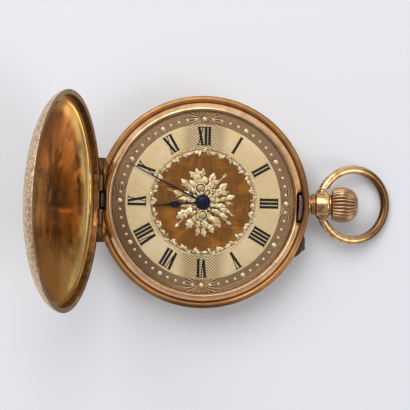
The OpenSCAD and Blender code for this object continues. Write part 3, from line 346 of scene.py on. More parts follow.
LOOKS = {
    # The case gold takes painted shade beside three and six, and is dark brown round its hinge.
    "case": surface(
        "case_gold", (0.34, 0.150, 0.050), (0.22, 0.090, 0.028), 0.44, grain=1500, bump=0.010,
        pattern=patina(330, (0.10, 0.038, 0.011), (0.44, 0.195, 0.062), 0.95),
        edge=(0.42, 0.215, 0.08), painted_shade=case_side_shade_and_dark_hinge),
    # The salmon gold darkens towards six by painted shade.
    "bezel": surface(
        "salmon_gold", (0.93, 0.60, 0.345), (0.87, 0.545, 0.305), 0.22,
        pattern=patina(190, (0.42, 0.20, 0.075), (0.86, 0.51, 0.25), 0.45),
        painted_shade=painted_shade_along((0, -1, 0), 12.5, 15.5, 0.55, (0.62, 0.30, 0.13))),
    # Mirror gold inside the open cover, with wear and painted reflections.
    "inside": surface(
        "mirror_gold_worn_and_painted_reflections", (0.56, 0.33, 0.115), (0.47, 0.26, 0.075), 0.17, grain=600, bump=0.08,
        pattern=worn_and_reflected_inside, rough_vary=0.04),
    "rim": surface(
        "rim_gold", (0.30, 0.155, 0.064), (0.20, 0.098, 0.037), 0.38, grain=1500, bump=0.004,
        pattern=patina(300, (0.09, 0.042, 0.015), (0.30, 0.15, 0.055), 0.7),
        edge=(0.50, 0.31, 0.16)),
    # Dark brown for the knuckles and leaves of the covers' hinges.
    "hinge": surface(
        "dark_hinge_brown", (0.085, 0.045, 0.019), (0.040, 0.019, 0.008), 0.42, grain=1800,
        bump=0.006, edge=(0.15, 0.085, 0.04)),
    "engraved": surface(
        "engraved_gold", (0.84, 0.66, 0.46), (0.74, 0.54, 0.35), 0.40, grain=2200, bump=0.010,
        pattern=scrolls(1250, (0.42, 0.26, 0.14), 0.75)),
    # The bow's gold darkens towards its far end by painted shade.
    "bow": surface(
        "bow_gold", (0.86, 0.58, 0.31), (0.72, 0.46, 0.22), 0.26,
        pattern=patina(420, (0.34, 0.165, 0.05), (0.84, 0.56, 0.28), 0.65),
        painted_shade=painted_shade_along((1, 0, 0), 24.0, 28.0, 0.92, (0.12, 0.050, 0.014))),
    # The pendant's gold darkens on its side towards six by painted shade.
    "pendant": surface(
        "pendant_gold", (0.84, 0.53, 0.25), (0.74, 0.44, 0.18), 0.19,
        pattern=patina(700, (0.24, 0.11, 0.035), (0.82, 0.55, 0.28), 0.85),
        hollow=(0.13, 0.06, 0.02),
        painted_shade=painted_shade_along((0, -1, 0), 0.2, 2.2, 0.5, (0.20, 0.09, 0.03))),
    # The crown's pale edges are painted highlights, and its dark flute hollows are painted shade
    # and dirt.
    "crown": surface(
        "crown_gold", (0.36, 0.20, 0.092), (0.24, 0.125, 0.053), 0.28, bump=0.012,
        edge=(0.84, 0.60, 0.36), hollow=(0.022, 0.010, 0.004)),
    "steel": surface(
        "dark_steel", (0.060, 0.040, 0.036), (0.018, 0.012, 0.010), 0.5, metal=0.6, bump=0.02,
        pattern=patina(900, (0.012, 0.007, 0.006), (0.13, 0.085, 0.08), 0.8),
        edge=(0.20, 0.14, 0.13), shine=0.2),
    "oxide": surface(
        "black_oxide", (0.020, 0.013, 0.009), (0.010, 0.006, 0.004), 0.6, metal=0.3, bump=0.01,
        edge=(0.085, 0.070, 0.060), shine=0.15),
    "blue": surface(
        "blued_steel", (0.016, 0.020, 0.060), (0.008, 0.009, 0.022), 0.24),
    "bright": surface(
        "bright_steel", (0.60, 0.60, 0.62), (0.50, 0.50, 0.52), 0.24, bump=0.002,
        stretch=(1, 8, 1)),
    "gilt": surface(
        "frosted_gilt", (0.83, 0.64, 0.32), (0.72, 0.54, 0.25), 0.42, grain=2600, bump=0.004),
    "brass": surface(
        "wheel_brass", (0.82, 0.62, 0.30), (0.74, 0.54, 0.25), 0.25, bump=0.002),
    # The chapter ring darkens towards eight by painted shade.
    "chapter": surface(
        "chapter_gold", (0.44, 0.26, 0.125), (0.31, 0.175, 0.08), 0.42, grain=2200, bump=0.010,
        pattern=chapter_cuts,
        painted_shade=painted_shade_along((-0.9, -0.44, 0), 8.5, 14.0, 0.62, (0.105, 0.056, 0.022))),
    "champagne": surface(
        "champagne", (0.80, 0.61, 0.335), (0.71, 0.53, 0.275), 0.46, grain=2400, bump=0.006,
        pattern=fan_cuts),
    "centre": surface(
        "brown_centre", (0.30, 0.125, 0.024), (0.17, 0.066, 0.011), 0.62, grain=2600,
        stretch=(1.6, 0.12, 1), bump=0.012, pattern=brushed_brown),
    # On the raised gold, the pale edges are painted highlights, and the dark hollows and the brown
    # at the foot of the leaves are painted shade.
    "raised": surface(
        "raised_gold", (0.90, 0.73, 0.40), (0.74, 0.54, 0.24), 0.46, grain=2600, bump=0.014,
        pattern=patina(1500, (0.22, 0.11, 0.022), (0.92, 0.72, 0.36), 1.0),
        edge=(1.0, 0.93, 0.70), hollow=(0.09, 0.040, 0.008), painted_shade=leaf_foot_shade),
    "boss": surface(
        "boss_gold", (0.60, 0.42, 0.20), (0.46, 0.30, 0.125), 0.5, grain=2000, bump=0.004),
    "bead": surface(
        "bead_gold", (0.80, 0.66, 0.46), (0.66, 0.52, 0.34), 0.44),
    "groove": surface(
        "dark_groove", (0.10, 0.055, 0.016), (0.05, 0.025, 0.008), 0.5),
    "black": surface(
        "black_enamel", (0.012, 0.009, 0.008), (0.006, 0.005, 0.004), 0.55, metal=0.0, shine=0.15),
    "ruby": surface(
        "ruby", (0.5, 0.02, 0.06), (0.4, 0.015, 0.05), 0.08, metal=0.0, bump=0.0005),
    "glass": glass(),
}


def polar(r, a):
    """x and y at a radius and an angle."""
    return r * math.cos(a), r * math.sin(a)


def turned(p, a):
    """A point turned by an angle about Z."""
    x, y = polar(1, a)
    return Vector((p.x * x - p.y * y, p.x * y + p.y * x, p.z))


def add_object(name, data):
    ob = bpy.data.objects.new(name, data)
    bpy.context.scene.collection.objects.link(ob)
    return ob


class Shape:
    """Vertices and faces of one piece, in mm, with the number of its material for each face."""
    def __init__(self):
        self.points, self.faces, self.looks = [], [], []

    def grid(self, rows, cols, point, wrap_u=False, wrap_v=False, look=0, flip=False):
        """Joins rows and columns of points with four-sided faces."""
        base = len(self.points)
        self.points += [point(i, j) for i in range(rows) for j in range(cols)]
        for i in range(rows if wrap_u else rows - 1):
            for j in range(cols if wrap_v else cols - 1):
                a = base + i * cols + j
                b = base + i * cols + (j + 1) % cols
                c = base + ((i + 1) % rows) * cols + (j + 1) % cols
                d = base + ((i + 1) % rows) * cols + j
                self.faces.append((d, c, b, a) if flip else (a, b, c, d))
                self.looks.append(look(i) if callable(look) else look)

    def lathe(self, profile, seg, look=0, place=None, closed=True):
        """Turns a profile of (r, z) about Z; a closed one joins its last point to its first."""
        def point(i, j):
            r, z = profile[i]
            p = Vector((*polar(r, TAU * j / seg), z))
            return place(p) if place else p
        self.grid(len(profile), seg, point, wrap_u=closed, wrap_v=True, look=look, flip=True)

    def tube(self, path, radius, seg, place=None):
        """Sweeps a circle along a path, with flat caps."""
        last = len(path) - 1
        up = (path[1] - path[0]).orthogonal().normalized()
        rings = []
        for i, p in enumerate(path):
            way = (path[min(last, i + 1)] - path[max(0, i - 1)]).normalized()
            up = (up - way * up.dot(way)).normalized()
            rings.append((p, up.copy(), way.cross(up)))

        def point(i, j):
            p, u, w = rings[i]
            c, s = polar(radius, TAU * j / seg)
            q = p + u * c + w * s
            return place(q) if place else q
        base = len(self.points)
        self.grid(len(path), seg, point, wrap_v=True)
        self.faces.append(tuple(base + j for j in reversed(range(seg))))
        self.faces.append(tuple(base + last * seg + j for j in range(seg)))
        self.looks += [0, 0]

    def slab(self, outline, z0, z1, look=0, bevel=0.0, place=None):
        """A flat piece from an outline of (x, y) points, with a small bevel on its top edge."""
        n = len(outline)
        layers = [(outline, z0), (outline, z1)]
        if bevel:
            inner = []
            for i, (x, y) in enumerate(outline):
                (px, py), (qx, qy) = outline[i - 1], outline[(i + 1) % n]
                reach = math.hypot(qx - px, qy - py) or 1
                inner.append((x - (qy - py) / reach * bevel, y + (qx - px) / reach * bevel))
            layers = [(outline, z0), (outline, z1 - bevel), (inner, z1)]
        base = len(self.points)
        for pts, z in layers:
            for x, y in pts:
                p = Vector((x, y, z))
                self.points.append(place(p) if place else p)
        for k in range(len(layers) - 1):
            for i in range(n):
                a, b = base + k * n + i, base + k * n + (i + 1) % n
                self.faces.append((a, b, b + n, a + n))
        top = base + (len(layers) - 1) * n
        self.faces.append(tuple(top + i for i in range(n)))
        self.faces.append(tuple(base + i for i in reversed(range(n))))
        self.looks += [look] * (n * (len(layers) - 1) + 2)

    def block(self, x0, x1, y0, y1, z0, z1, look=0, place=None):
        """A box between these limits."""
        self.slab([(x0, y0), (x1, y0), (x1, y1), (x0, y1)], z0, z1, look, place=place)

    def cap(self, x, y, z, r, seg, squash, look=0):
        """Upper half of a flattened ball."""
        def point(i, j):
            a = math.pi / 2 * i / (seg // 2)
            edge = Vector((*polar(r * math.cos(a), TAU * j / seg), 0))
            return Vector((x, y, z + r * squash * math.sin(a))) + edge
        self.grid(seg // 2 + 1, seg, point, wrap_v=True, look=look)

    def rod_y(self, r, x, z, y0, y1, look=0, place=None):
        """A round bar along Y with small bevels at its ends."""
        edge = 0.05
        profile = [(0, y0), (r - edge, y0), (r, y0 + edge), (r, y1 - edge), (r - edge, y1), (0, y1)]

        def put(p):
            q = Vector((x + p.x, p.z, z - p.y))
            return place(q) if place else q
        self.lathe(profile, 40, look, place=put, closed=False)

    def piece(self, name, body, looks, replaces=(), sharp=50):
        """Makes the mesh in metres, sharp above this angle in degrees, and lets it ride."""
        me = bpy.data.meshes.new(name)
        me.from_pydata([tuple(p * MM) for p in self.points], [], self.faces)
        for look in looks:
            me.materials.append(LOOKS[look])
        me.polygons.foreach_set("material_index", self.looks)
        bm = bmesh.new()
        bm.from_mesh(me)
        bmesh.ops.remove_doubles(bm, verts=bm.verts, dist=1e-7)
        bmesh.ops.dissolve_degenerate(bm, dist=5e-8, edges=bm.edges)
        bmesh.ops.recalc_face_normals(bm, faces=bm.faces)
        bm.to_mesh(me)
        bm.free()
        me.shade_smooth()
        me.set_sharp_from_angle(angle=math.radians(sharp))
        ob = add_object(name, me)
        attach(ob, body)
        if replaces:
            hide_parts(*replaces)


def dome(flat, rim, h):
    """From the middle of a dome out to its rim: (r, drop from the top)."""
    flat_steps, steps = 6, 44
    pts = [(flat * k / flat_steps, 0.0) for k in range(flat_steps + 1)]
    for k in range(1, steps + 1):
        a = math.pi / 2 * k / steps
        pts.append((flat + (rim - flat) * math.sin(a), h * (1 - math.cos(a))))
    return pts


def opened(p):
    """A point of the closed front cover, as it stands with the cover open."""
    x, z = p.x + HINGE_X, p.z - LEDGE_Z
    c, s = polar(1, OPEN_ANGLE)
    return Vector((x * c - z * s - HINGE_X, p.y, x * s + z * c + LEDGE_Z))


def arc_strip(r0, r1, a0, a1):
    """Outline of a strip between two radii and two angles in degrees."""
    steps = 24
    turn = [math.radians(a0 + (a1 - a0) * k / steps) for k in range(steps + 1)]
    return [polar(r1, a) for a in turn] + [polar(r0, a) for a in reversed(turn)]


def cover(name, body, z0, h, flat, side, lining, place=None):
    """A hunter cover: engraved outside, polished inside, with a bead in its rim and its hinge leaf.

    z0 is the plane of its rim, and side is 1 if it domes upwards and -1 if downwards. The front
    cover has its lug strip beside the hinge and its catch lip too.
    """
    s = Shape()
    outside = [(r, z0 + side * (h - d)) for r, d in dome(flat, COVER_R, h)]
    bead = [(0.0, 0.05), (0.0, 0.12), (0.05, 0.86), (0.20, 0.92), (0.22, 1.02), (0.12, 1.10)]
    rim = [(COVER_R - 0.05, z0), (RIM_R + 0.05, z0)]
    rim += [(RIM_R - inward, z0 + side * rise) for inward, rise in bead]
    inside = [(r, z0 + side * (h - SHELL_T - d)) for r, d in dome(flat, RIM_R, h - SHELL_T)]
    bead_top = 1.2
    inside = [(r, z) for r, z in reversed(inside) if abs(z - z0) > bead_top]
    rim_starts, rim_ends = len(outside) - 1, len(outside) + len(rim) - 2

    def look(i):
        return 0 if i < rim_starts else (2 if i < rim_ends else 1)
    s.lathe(outside + rim + inside, 256, look, place, closed=False)
    leaf_w = 0.62
    low, high = (0.12, 0.78) if side > 0 else (-0.78, -0.12)
    near, far = HINGE_GAP / 2, HINGE_SPLIT / 2
    for y0, y1 in ((near, far), (-far, -near)):
        s.rod_y(KNUCKLE_R, -HINGE_X, z0 - side * COVER_LIFT, y0, y1, 3, place)
        s.block(-HINGE_X, -HINGE_X + leaf_w, y0, y1, z0 + low, z0 + high, 3, place)
    if side > 0:
        lug_strip, catch_lip = arc_strip(16.0, 16.32, 165, 195), arc_strip(16.02, 16.32, -10.2, 6.2)
        s.slab(lug_strip, z0 + 0.12, z0 + 0.72, 4, bevel=0.03, place=place)
        s.slab(catch_lip, z0 + 0.05, z0 + 0.28, 2, bevel=0.03, place=place)
    s.piece(name, body, ["engraved", lining, "rim", "hinge", "pendant"],
            replaces=(body,), sharp=40)


# The crown from its foot to its top: shares of its radius and of its length
CROWN_SHAPE = [(0, 0), (0.55, 0), (0.80, 0), (0.855, 0.02), (0.885, 0.055), (0.92, 0.12),
               (0.955, 0.18), (0.985, 0.27), (1, 0.36), (1, 0.43), (0.99, 0.5), (0.97, 0.57),
               (0.94, 0.64), (0.90, 0.70), (0.85, 0.76), (0.79, 0.82), (0.73, 0.86), (0.66, 0.90),
               (0.59, 0.93), (0.50, 0.96), (0.42, 0.98), (0.25, 1), (0, 1)]


def crown():
    """The winding crown, rounded like a ball, with deep flutes that are a little uneven."""
    s = Shape()
    seg = FLUTES * 12
    flute, uneven, fade_r, fade = 0.25, 0.011, 0.40 * CROWN_R, 0.9

    def point(i, j):
        share_r, share_x = CROWN_SHAPE[i]
        r, x = share_r * CROWN_R, share_x * CROWN_LEN
        t = TAU * j / seg
        wave = t + uneven * math.sin(3 * t + 7 * share_x) * math.sin(math.pi * share_x)
        deep = 1 - abs(math.sin(FLUTES * wave / 2)) ** 0.8
        r -= flute * min(1.0, max(0.0, (r - fade_r) / fade)) * deep
        y, z = polar(r, t)
        return Vector((CROWN_X + x, y, AXIS_Z + z))
    s.grid(len(CROWN_SHAPE), seg, point, wrap_v=True)
    s.piece("fluted_crown", "crown", ["crown"], replaces=("crown",))


def hang(p):
    """A point of the bow, drawn flat from its pivot, as the bow hangs."""
    c, s = polar(1, DROOP)
    return Vector((BOW_X + p.x * c + p.z * s, p.y, AXIS_Z - p.x * s + p.z * c))


def bow():
    """The ring of the bow, cut flat beside the pendant's ears, and its two pins."""
    s = Shape()
    start = math.asin((BOW_END_Y - BOW_WIRE / 2) / BOW_R)
    steps = 120
    path = []
    for k in range(steps + 1):
        x, y = polar(BOW_R, math.pi + start + (TAU - 2 * start) * k / steps)
        path.append(Vector((BOW_REACH + x, y, 0)))
    soft, beside, sunk = 0.22, 1.5, 0.4

    def flatten(p):
        if p.x < BOW_R / 2 and abs(p.y) < BOW_END_Y + beside:
            over = abs(p.y) - BOW_END_Y
            p.y = math.copysign(BOW_END_Y + (over + math.hypot(over, soft)) / 2, p.y)
        return hang(p)
    s.tube(path, BOW_WIRE, 32, flatten)
    for y0, y1 in ((BOW_PIN_Y, BOW_END_Y + sunk), (-BOW_END_Y - sunk, -BOW_PIN_Y)):
        s.rod_y(BOW_PIN_R, BOW_X, AXIS_Z, y0, y1)
    s.piece("ring_bow", "bow", ["bow"], replaces=("bow",))


def dial():
    """The dial plate: chapter ring with fine ribs at its rim, numeral ring, and brushed centre."""
    s = Shape()
    seg, close = 720, 0.01
    radii = [HOLE_R, 1.4, 2.4, 4.0, 6.0, 7.4, 8.4]
    radii += [CENTRE_R + (CHAPTER_R - CENTRE_R) * k / 16 for k in range(17)]
    radii += [CHAPTER_R + 0.03, CHAPTER_R + 0.05, 13.0, 13.6, 13.95]
    radii += [RIBS_R + (DIAL_R - RIBS_R) * k / 12 for k in range(13)]
    count = len(radii)
    rib_pitch, rib_rise, numeral_rise = 0.14, 0.01, 0.004

    def height(r):
        if r > RIBS_R - close:
            return rib_rise * (1 - math.cos((r - RIBS_R) * TAU / rib_pitch))
        if CENTRE_R - close < r < CHAPTER_R + close:
            return numeral_rise
        return 0.0

    def point(i, j):
        r, z = (DIAL_R, DIAL_UNDER_Z) if i == count else (HOLE_R, DIAL_UNDER_Z)
        if i < count:
            r, z = radii[i], PLATE_Z + height(radii[i])
        return Vector((*polar(r, TAU * j / seg), z))

    def look(i):
        r = radii[min(i, count - 1)]
        return 0 if r > CHAPTER_R - close else (1 if r > CENTRE_R - 0.04 else 2)
    s.grid(count + 2, seg, point, wrap_u=True, wrap_v=True, look=look, flip=True)
    s.piece("dial_plate", "case", ["chapter", "champagne", "centre"],
            replaces=("dial",), sharp=60)


def beads():
    """Sixty minute beads, larger at the hours, and a ring of small beads round the brown centre."""
    s = Shape()
    hour_r, minute_r = 0.40, 0.235
    for k in range(60):
        x, y = polar(BEAD_R, math.radians(90 - 6 * k))
        r, seg = (hour_r, 18) if k % 5 == 0 else (minute_r, 12)
        s.cap(x, y, SUNK_Z, r, seg, 0.36)
    small, small_r, ring_r = 132, 0.15, 8.60
    for k in range(small):
        x, y = polar(ring_r, TAU * k / small)
        s.cap(x, y, ROOT_Z, small_r, 8, 0.7, look=1)
    s.piece("minute_beads", "case", ["bead", "raised"], sharp=60)


ROMAN = ["XII", "I", "II", "III", "IIII", "V", "VI", "VII", "VIII", "IX", "X", "XI"]
WIDTH = {"I": 0.58, "V": 1.06, "X": 1.08}


def numerals():
    """Twelve Roman numerals of thick and thin bars with serifs, their feet to the centre."""
    s = Shape()
    thick, thin, serif = 0.42, 0.14, 0.14
    low, high = NUMERAL_IN + serif / 2, NUMERAL_OUT - serif / 2
    top = DIAL_Z + 0.02

    def bar(place, x0, x1, w):
        outline = [(x0 - w / 2, low), (x0 + w / 2, low), (x1 + w / 2, high), (x1 - w / 2, high)]
        s.slab(outline, ROOT_Z, top, place=place)

    def foot(place, x0, x1, y):
        s.block(x0, x1, y - serif / 2, y + serif / 2, ROOT_Z, top + 0.002, place=place)
    for hour, word in enumerate(ROMAN):
        def place(p, a=math.radians(-30 * hour)):
            return turned(p, a)
        x = -sum(WIDTH[c] for c in word) / 2
        for letter in word:
            w = WIDTH[letter]
            if letter == "I":
                bar(place, x + w / 2, x + w / 2, thick)
                foot(place, x + 0.01, x + w - 0.01, low)
                foot(place, x + 0.01, x + w - 0.01, high)
            elif letter == "V":
                bar(place, x + w / 2, x + 0.24, thick)
                bar(place, x + w / 2 + 0.06, x + w - 0.2, thin)
                foot(place, x - 0.02, x + 0.52, high)
                foot(place, x + w - 0.42, x + w, high)
            else:
                bar(place, x + w - 0.25, x + 0.25, thick)
                bar(place, x + 0.2, x + w - 0.2, thin)
                for y in (low, high):
                    foot(place, x, x + 0.48, y)
                    foot(place, x + w - 0.48, x + w, y)
            x += w
    s.piece("roman_numerals", "case", ["black"], sharp=30)


def leaf(s, x, y, a, length, width, lift, lobes):
    """A raised leaf from its root at x, y towards angle a: round tip, lobed edge and cut vein."""
    rows, cols = 17, 9
    root = Vector((x, y, ROOT_Z))

    def point(i, j):
        u, v = i / (rows - 1), 2 * j / (cols - 1) - 1
        w = width * math.sin(math.pi * u ** 0.8) ** 0.5 * (1 + 0.17 * math.cos(TAU * lobes * u))
        rise = (1 - v * v) ** 0.5 * (0.45 + 0.55 * math.sin(math.pi * min(1, u + 0.04)) ** 0.6)
        vein = 0.5 * math.exp(-(v / 0.16) ** 2) * (1 - u)
        rise -= vein + 0.18 * abs(math.sin(TAU * lobes * u)) * abs(v)
        return root + turned(Vector((u * length, v * w / 2, lift * max(0.0, rise))), a)

    def under(i, j):
        p = point(i, j)
        return Vector((p.x, p.y, root.z - 0.02))
    top = len(s.points)
    s.grid(rows, cols, point)
    base = len(s.points)
    s.grid(rows, cols, under, flip=True)
    rim = [i * cols for i in range(rows)] + [(rows - 1) * cols + j for j in range(1, cols)]
    rim += [i * cols + cols - 1 for i in range(rows - 2, -1, -1)] + list(range(cols - 2, 0, -1))
    for k, a1 in enumerate(rim):
        b1 = rim[(k + 1) % len(rim)]
        s.faces.append((top + a1, top + b1, base + b1, base + a1))
        s.looks.append(0)


# Bosses of the central flowers: x, y and outer radius
BOSSES = [(-0.42, 2.20, 0.84), (1.72, 0.28, 0.62), (0.0, -2.10, 0.80), (-1.62, -0.10, 0.62)]
# Petals and leaves: x and y of the middle, length, width, and turn from pointing outward
LEAVES = [(-1.75, 4.35, 1.5, 1.0, 22), (-1.0, 4.75, 1.4, 0.95, 4), (-0.15, 4.7, 1.5, 1.0, -10),
          (-0.95, 3.7, 1.5, 1.5, 0), (0.2, 3.55, 1.3, 1.2, 0), (-1.75, 2.9, 1.5, 1.1, 10),
          (-2.95, 3.0, 1.9, 1.25, 0), (-2.3, 2.3, 1.6, 1.0, -18), (1.45, 3.8, 2.0, 1.2, 8),
          (1.95, 3.1, 1.5, 0.95, -16), (1.1, 2.6, 1.5, 0.95, 20), (3.15, 2.5, 1.7, 1.1, 6),
          (2.5, 1.7, 1.6, 1.0, 10), (3.45, 1.55, 1.6, 0.9, -8), (4.35, 0.85, 1.5, 0.95, 8),
          (3.4, 0.5, 1.5, 0.9, 0), (4.2, -0.15, 1.3, 0.75, -6), (2.9, -0.55, 1.6, 0.9, 10),
          (3.5, -1.25, 1.8, 0.95, 4), (3.2, -2.05, 1.8, 0.9, 6), (2.2, -1.5, 1.5, 0.9, 14),
          (2.2, -3.2, 2.2, 1.5, 0), (1.35, -2.6, 1.4, 1.0, 12), (1.35, -4.2, 1.6, 1.1, 6),
          (0.35, -3.6, 1.5, 1.2, 0), (0.2, -4.85, 1.5, 0.95, 10), (-0.75, -4.8, 1.5, 1.0, -8),
          (-0.75, -3.6, 1.5, 1.2, 0), (-2.1, -3.55, 1.9, 1.3, 4), (-1.35, -2.7, 1.5, 1.1, -10),
          (-3.3, -2.1, 2.2, 1.5, 0), (-2.3, -1.5, 1.6, 1.1, 12), (-2.9, -0.6, 1.6, 0.8, -6),
          (-4.5, -0.35, 1.9, 0.75, 4), (-3.1, 0.45, 1.7, 0.8, 10), (-4.0, 1.35, 2.0, 1.1, 0),
          (-2.6, 1.25, 1.6, 1.0, -10), (-5.3, 1.9, 1.0, 0.3, 0)]
# Buds on stems: x and y of the stem's foot, and of the bud
BUDS = [(1.7, 2.3, 3.4, 4.3), (3.3, -2.6, 4.2, -3.25), (-3.3, -3.0, -4.15, -3.85),
        (3.9, -1.5, 4.7, -1.95)]
# The rough mound under the flowers, from its foot to its middle: radius, and height over the dial
MOUND = [(2.75, -0.09), (2.6, -0.01), (2.0, 0.02), (1.3, 0.02), (0.75, 0.0)]


def flowers():
    """The raised bouquet in the middle of the dial: mound, rings of petals, bosses and leaves."""
    s = Shape()
    rng = random.Random(7)
    z, seg = DIAL_Z, 240

    def mound(i, j):
        t = TAU * j / seg
        r, lift = MOUND[i]
        if i < 2:
            r += 0.22 * math.sin(11 * t)
        lift += 0.025 * math.sin(23 * t + 2 * i) * math.cos(7 * t)
        return Vector((*polar(r, t), z + lift))
    s.grid(len(MOUND), seg, mound, wrap_v=True, look=1)
    petals = 15
    for k in range(petals):
        a = TAU * k / petals + rng.uniform(-0.08, 0.08)
        for r, length, w, off in ((0.95, 1.1, 0.62, 0), (1.75, 1.25, 0.85, 0.21)):
            x, y = polar(r, a + off)
            leaf(s, x, y, a + rng.uniform(-0.25, 0.25), length, w, 0.16, 2)
    for bx, by, r in BOSSES:
        def put(p, bx=bx, by=by):
            return Vector((p.x + bx, p.y + by, p.z))
        ring = [(r * 0.90, SUNK_Z), (r * 1.08, SUNK_Z), (r * 1.06, z + 0.10), (r * 0.92, z + 0.10)]
        gap = [(0, SUNK_Z), (r * 0.95, SUNK_Z), (r * 0.95, z + 0.05), (0, z + 0.05)]
        disc = [(0, PLATE_Z), (r * 0.66, PLATE_Z), (r * 0.66, z + 0.07), (r * 0.56, z + 0.10),
                (0, z + 0.10)]
        s.lathe(ring, 36, place=put)
        s.lathe(gap, 36, 1, put, closed=False)
        s.lathe(disc, 36, 2, put, closed=False)
    for x, y, length, w, twist in LEAVES:
        a = math.atan2(y, x) + math.radians(twist)
        dx, dy = polar(length / 2, a)
        leaf(s, x - dx, y - dy, a, length, w, 0.17, 3 if w > 1.05 else 2)
        for side in (-1, 1):
            b = a + side * rng.uniform(0.5, 0.8)
            leaf(s, x - dx * 0.5, y - dy * 0.5, b, length * 0.45, w * 0.55, 0.12, 1)
    for x0, y0, x1, y1 in BUDS:
        middle = Vector(((x0 + x1) / 2, (y0 + y1) / 2 + 0.1, z + 0.02))
        s.tube([Vector((x0, y0, z - 0.02)), middle, Vector((x1, y1, z - 0.01))], 0.07, 8)
        a = math.atan2(y1 - y0, x1 - x0)
        leaf(s, x1 - 0.35 * math.cos(a), y1 - 0.35 * math.sin(a), a, 0.8, 0.7, 0.16, 1)
    s.piece("dial_flowers", "case", ["raised", "groove", "boss"])


# Curls in each scallop of the border: angle from its middle, length, width and turn
CURLS = [(-0.19, 0.85, 0.46, 1.2), (-0.13, 0.75, 0.42, 0.5), (-0.06, 0.6, 0.40, 2.3),
         (0.0, 0.85, 0.44, -0.4), (0.06, 0.6, 0.42, -1.1), (0.12, 0.85, 0.46, 0.9),
         (0.19, 0.6, 0.38, -1.5)]


def border():
    """Scalloped gold border round the brown centre, made of small curled leaves on a thin band."""
    s = Shape()
    rng = random.Random(3)
    seg, lobes = 480, 13
    inner_r, scallop, rough = 7.72, 0.24, 0.05
    foot, top = 0.08, 0.03

    def inner(t):
        lobe = abs(math.sin(lobes / 2 * t + 0.3)) ** 0.8
        return inner_r + scallop * lobe - rough * math.sin(31 * t)

    def point(i, j):
        t = TAU * j / seg
        r = [inner(t), inner(t) + 0.04, 8.30, 8.38][i]
        return Vector((*polar(r, t), DIAL_Z - (foot if i in (0, 3) else top)))
    s.grid(4, seg, point, wrap_u=True, wrap_v=True, flip=True)
    for k in range(lobes):
        for off, length, w, turn in CURLS:
            a = TAU * (k + 0.5) / lobes - 0.05 + off
            x, y = polar(inner(a) + 0.26, a)
            way = a + math.pi + turn + rng.uniform(-0.3, 0.3)
            leaf(s, x, y, way, length * 1.1, w * 1.25, 0.17, 2)
            x, y = polar(8.12, a + 0.03)
            way = a + math.pi / 2 * (1 if turn > 0 else -1) + rng.uniform(-0.5, 0.5)
            leaf(s, x, y, way, 0.5, 0.3, 0.1, 1)
    s.piece("dial_border", "case", ["raised"])


def hand(name, body, half, level, thick, bevel, angle, boss, seg):
    """A flat hand from its half outline of (x, half width), with its round boss, on its arbor.

    The level is its height over the dial, and the boss is a profile of (r, height over that).
    """
    s = Shape()
    z = DIAL_Z + level
    outline = [(x, -w) for x, w in half] + [(x, w) for x, w in reversed(half)]
    s.slab(outline, z, z + thick, bevel=bevel, place=lambda p: turned(p, math.radians(angle)))
    s.lathe([(r, z + rise) for r, rise in boss], seg)
    s.piece(name, body, ["blue"], replaces=(body,), sharp=28)


SPADE = [(0, 0.18), (1.6, 0.13), (3.3, 0.09), (3.6, 0.11), (3.74, 0.28), (3.95, 0.44), (4.22, 0.52),
         (4.6, 0.53), (4.95, 0.44), (5.25, 0.28), (5.45, 0.17), (5.7, 0.11), (HOUR_LEN - 0.4, 0.06),
         (HOUR_LEN, 0.02)]
HOUR_BOSS = [(0.83, 0), (1.04, 0), (1.05, 0.02), (1.0, 0.14), (0.83, 0.14)]
BLADE = [(0, 0.17), (4.0, 0.125), (9.0, 0.09), (MINUTE_LEN - 0.5, 0.055), (MINUTE_LEN, 0.02)]
MINUTE_BOSS = [(0.46, 0), (1.14, 0), (1.18, 0.04), (1.18, 0.16), (1.1, 0.3), (0.46, 0.3)]

# The look of each solid that stays in the picture
SOLIDS = {
    "case": ["case_middle"],
    "bezel": ["bezel", "cuvette"],
    "glass": ["crystal"],
    "pendant": ["pendant", "push_sleeve"],
    "steel": ["front_hinge_pins", "back_hinge_pin", "cuvette_hinge_pin", "lock_spring"],
    "oxide": ["lift_spring", "set_push", "push_guard"],
    "blue": ["spring_screws", "movement_screws", "cannon_pinion", "mainspring", "hairspring",
             "bridge_screws", "wheel_screws"],
    "bright": ["winding_stem", "setting_wheel", "barrel_arbor", "ratchet_wheel", "crown_wheel",
               "click", "click_spring", "winding_pinion", "sliding_pinion", "set_yoke",
               "pallet_fork", "balance_staff", "regulator"],
    "gilt": ["main_plate", "barrel_bridge", "train_bridge", "balance_cock", "pallet_bridge"],
    "brass": ["hour_wheel", "minute_wheel", "barrel", "centre_wheel", "third_wheel",
              "fourth_wheel", "escape_wheel", "balance_wheel"],
    "ruby": ["jewels"],
}


def dress_solids():
    """Gives the solids their looks, and smooth shading between their sharp edges."""
    for look, nodes in SOLIDS.items():
        for node in nodes:
            ob = frame["nodes"][node]
            ob.data.materials.clear()
            ob.data.materials.append(LOOKS[look])
            ob.data.polygons.foreach_set("material_index", [0] * len(ob.data.polygons))
            ob.modifiers.new("weld", "WELD").merge_threshold = 1e-7
            ob.data.shade_smooth()
            ob.data.set_sharp_from_angle(angle=math.radians(30))


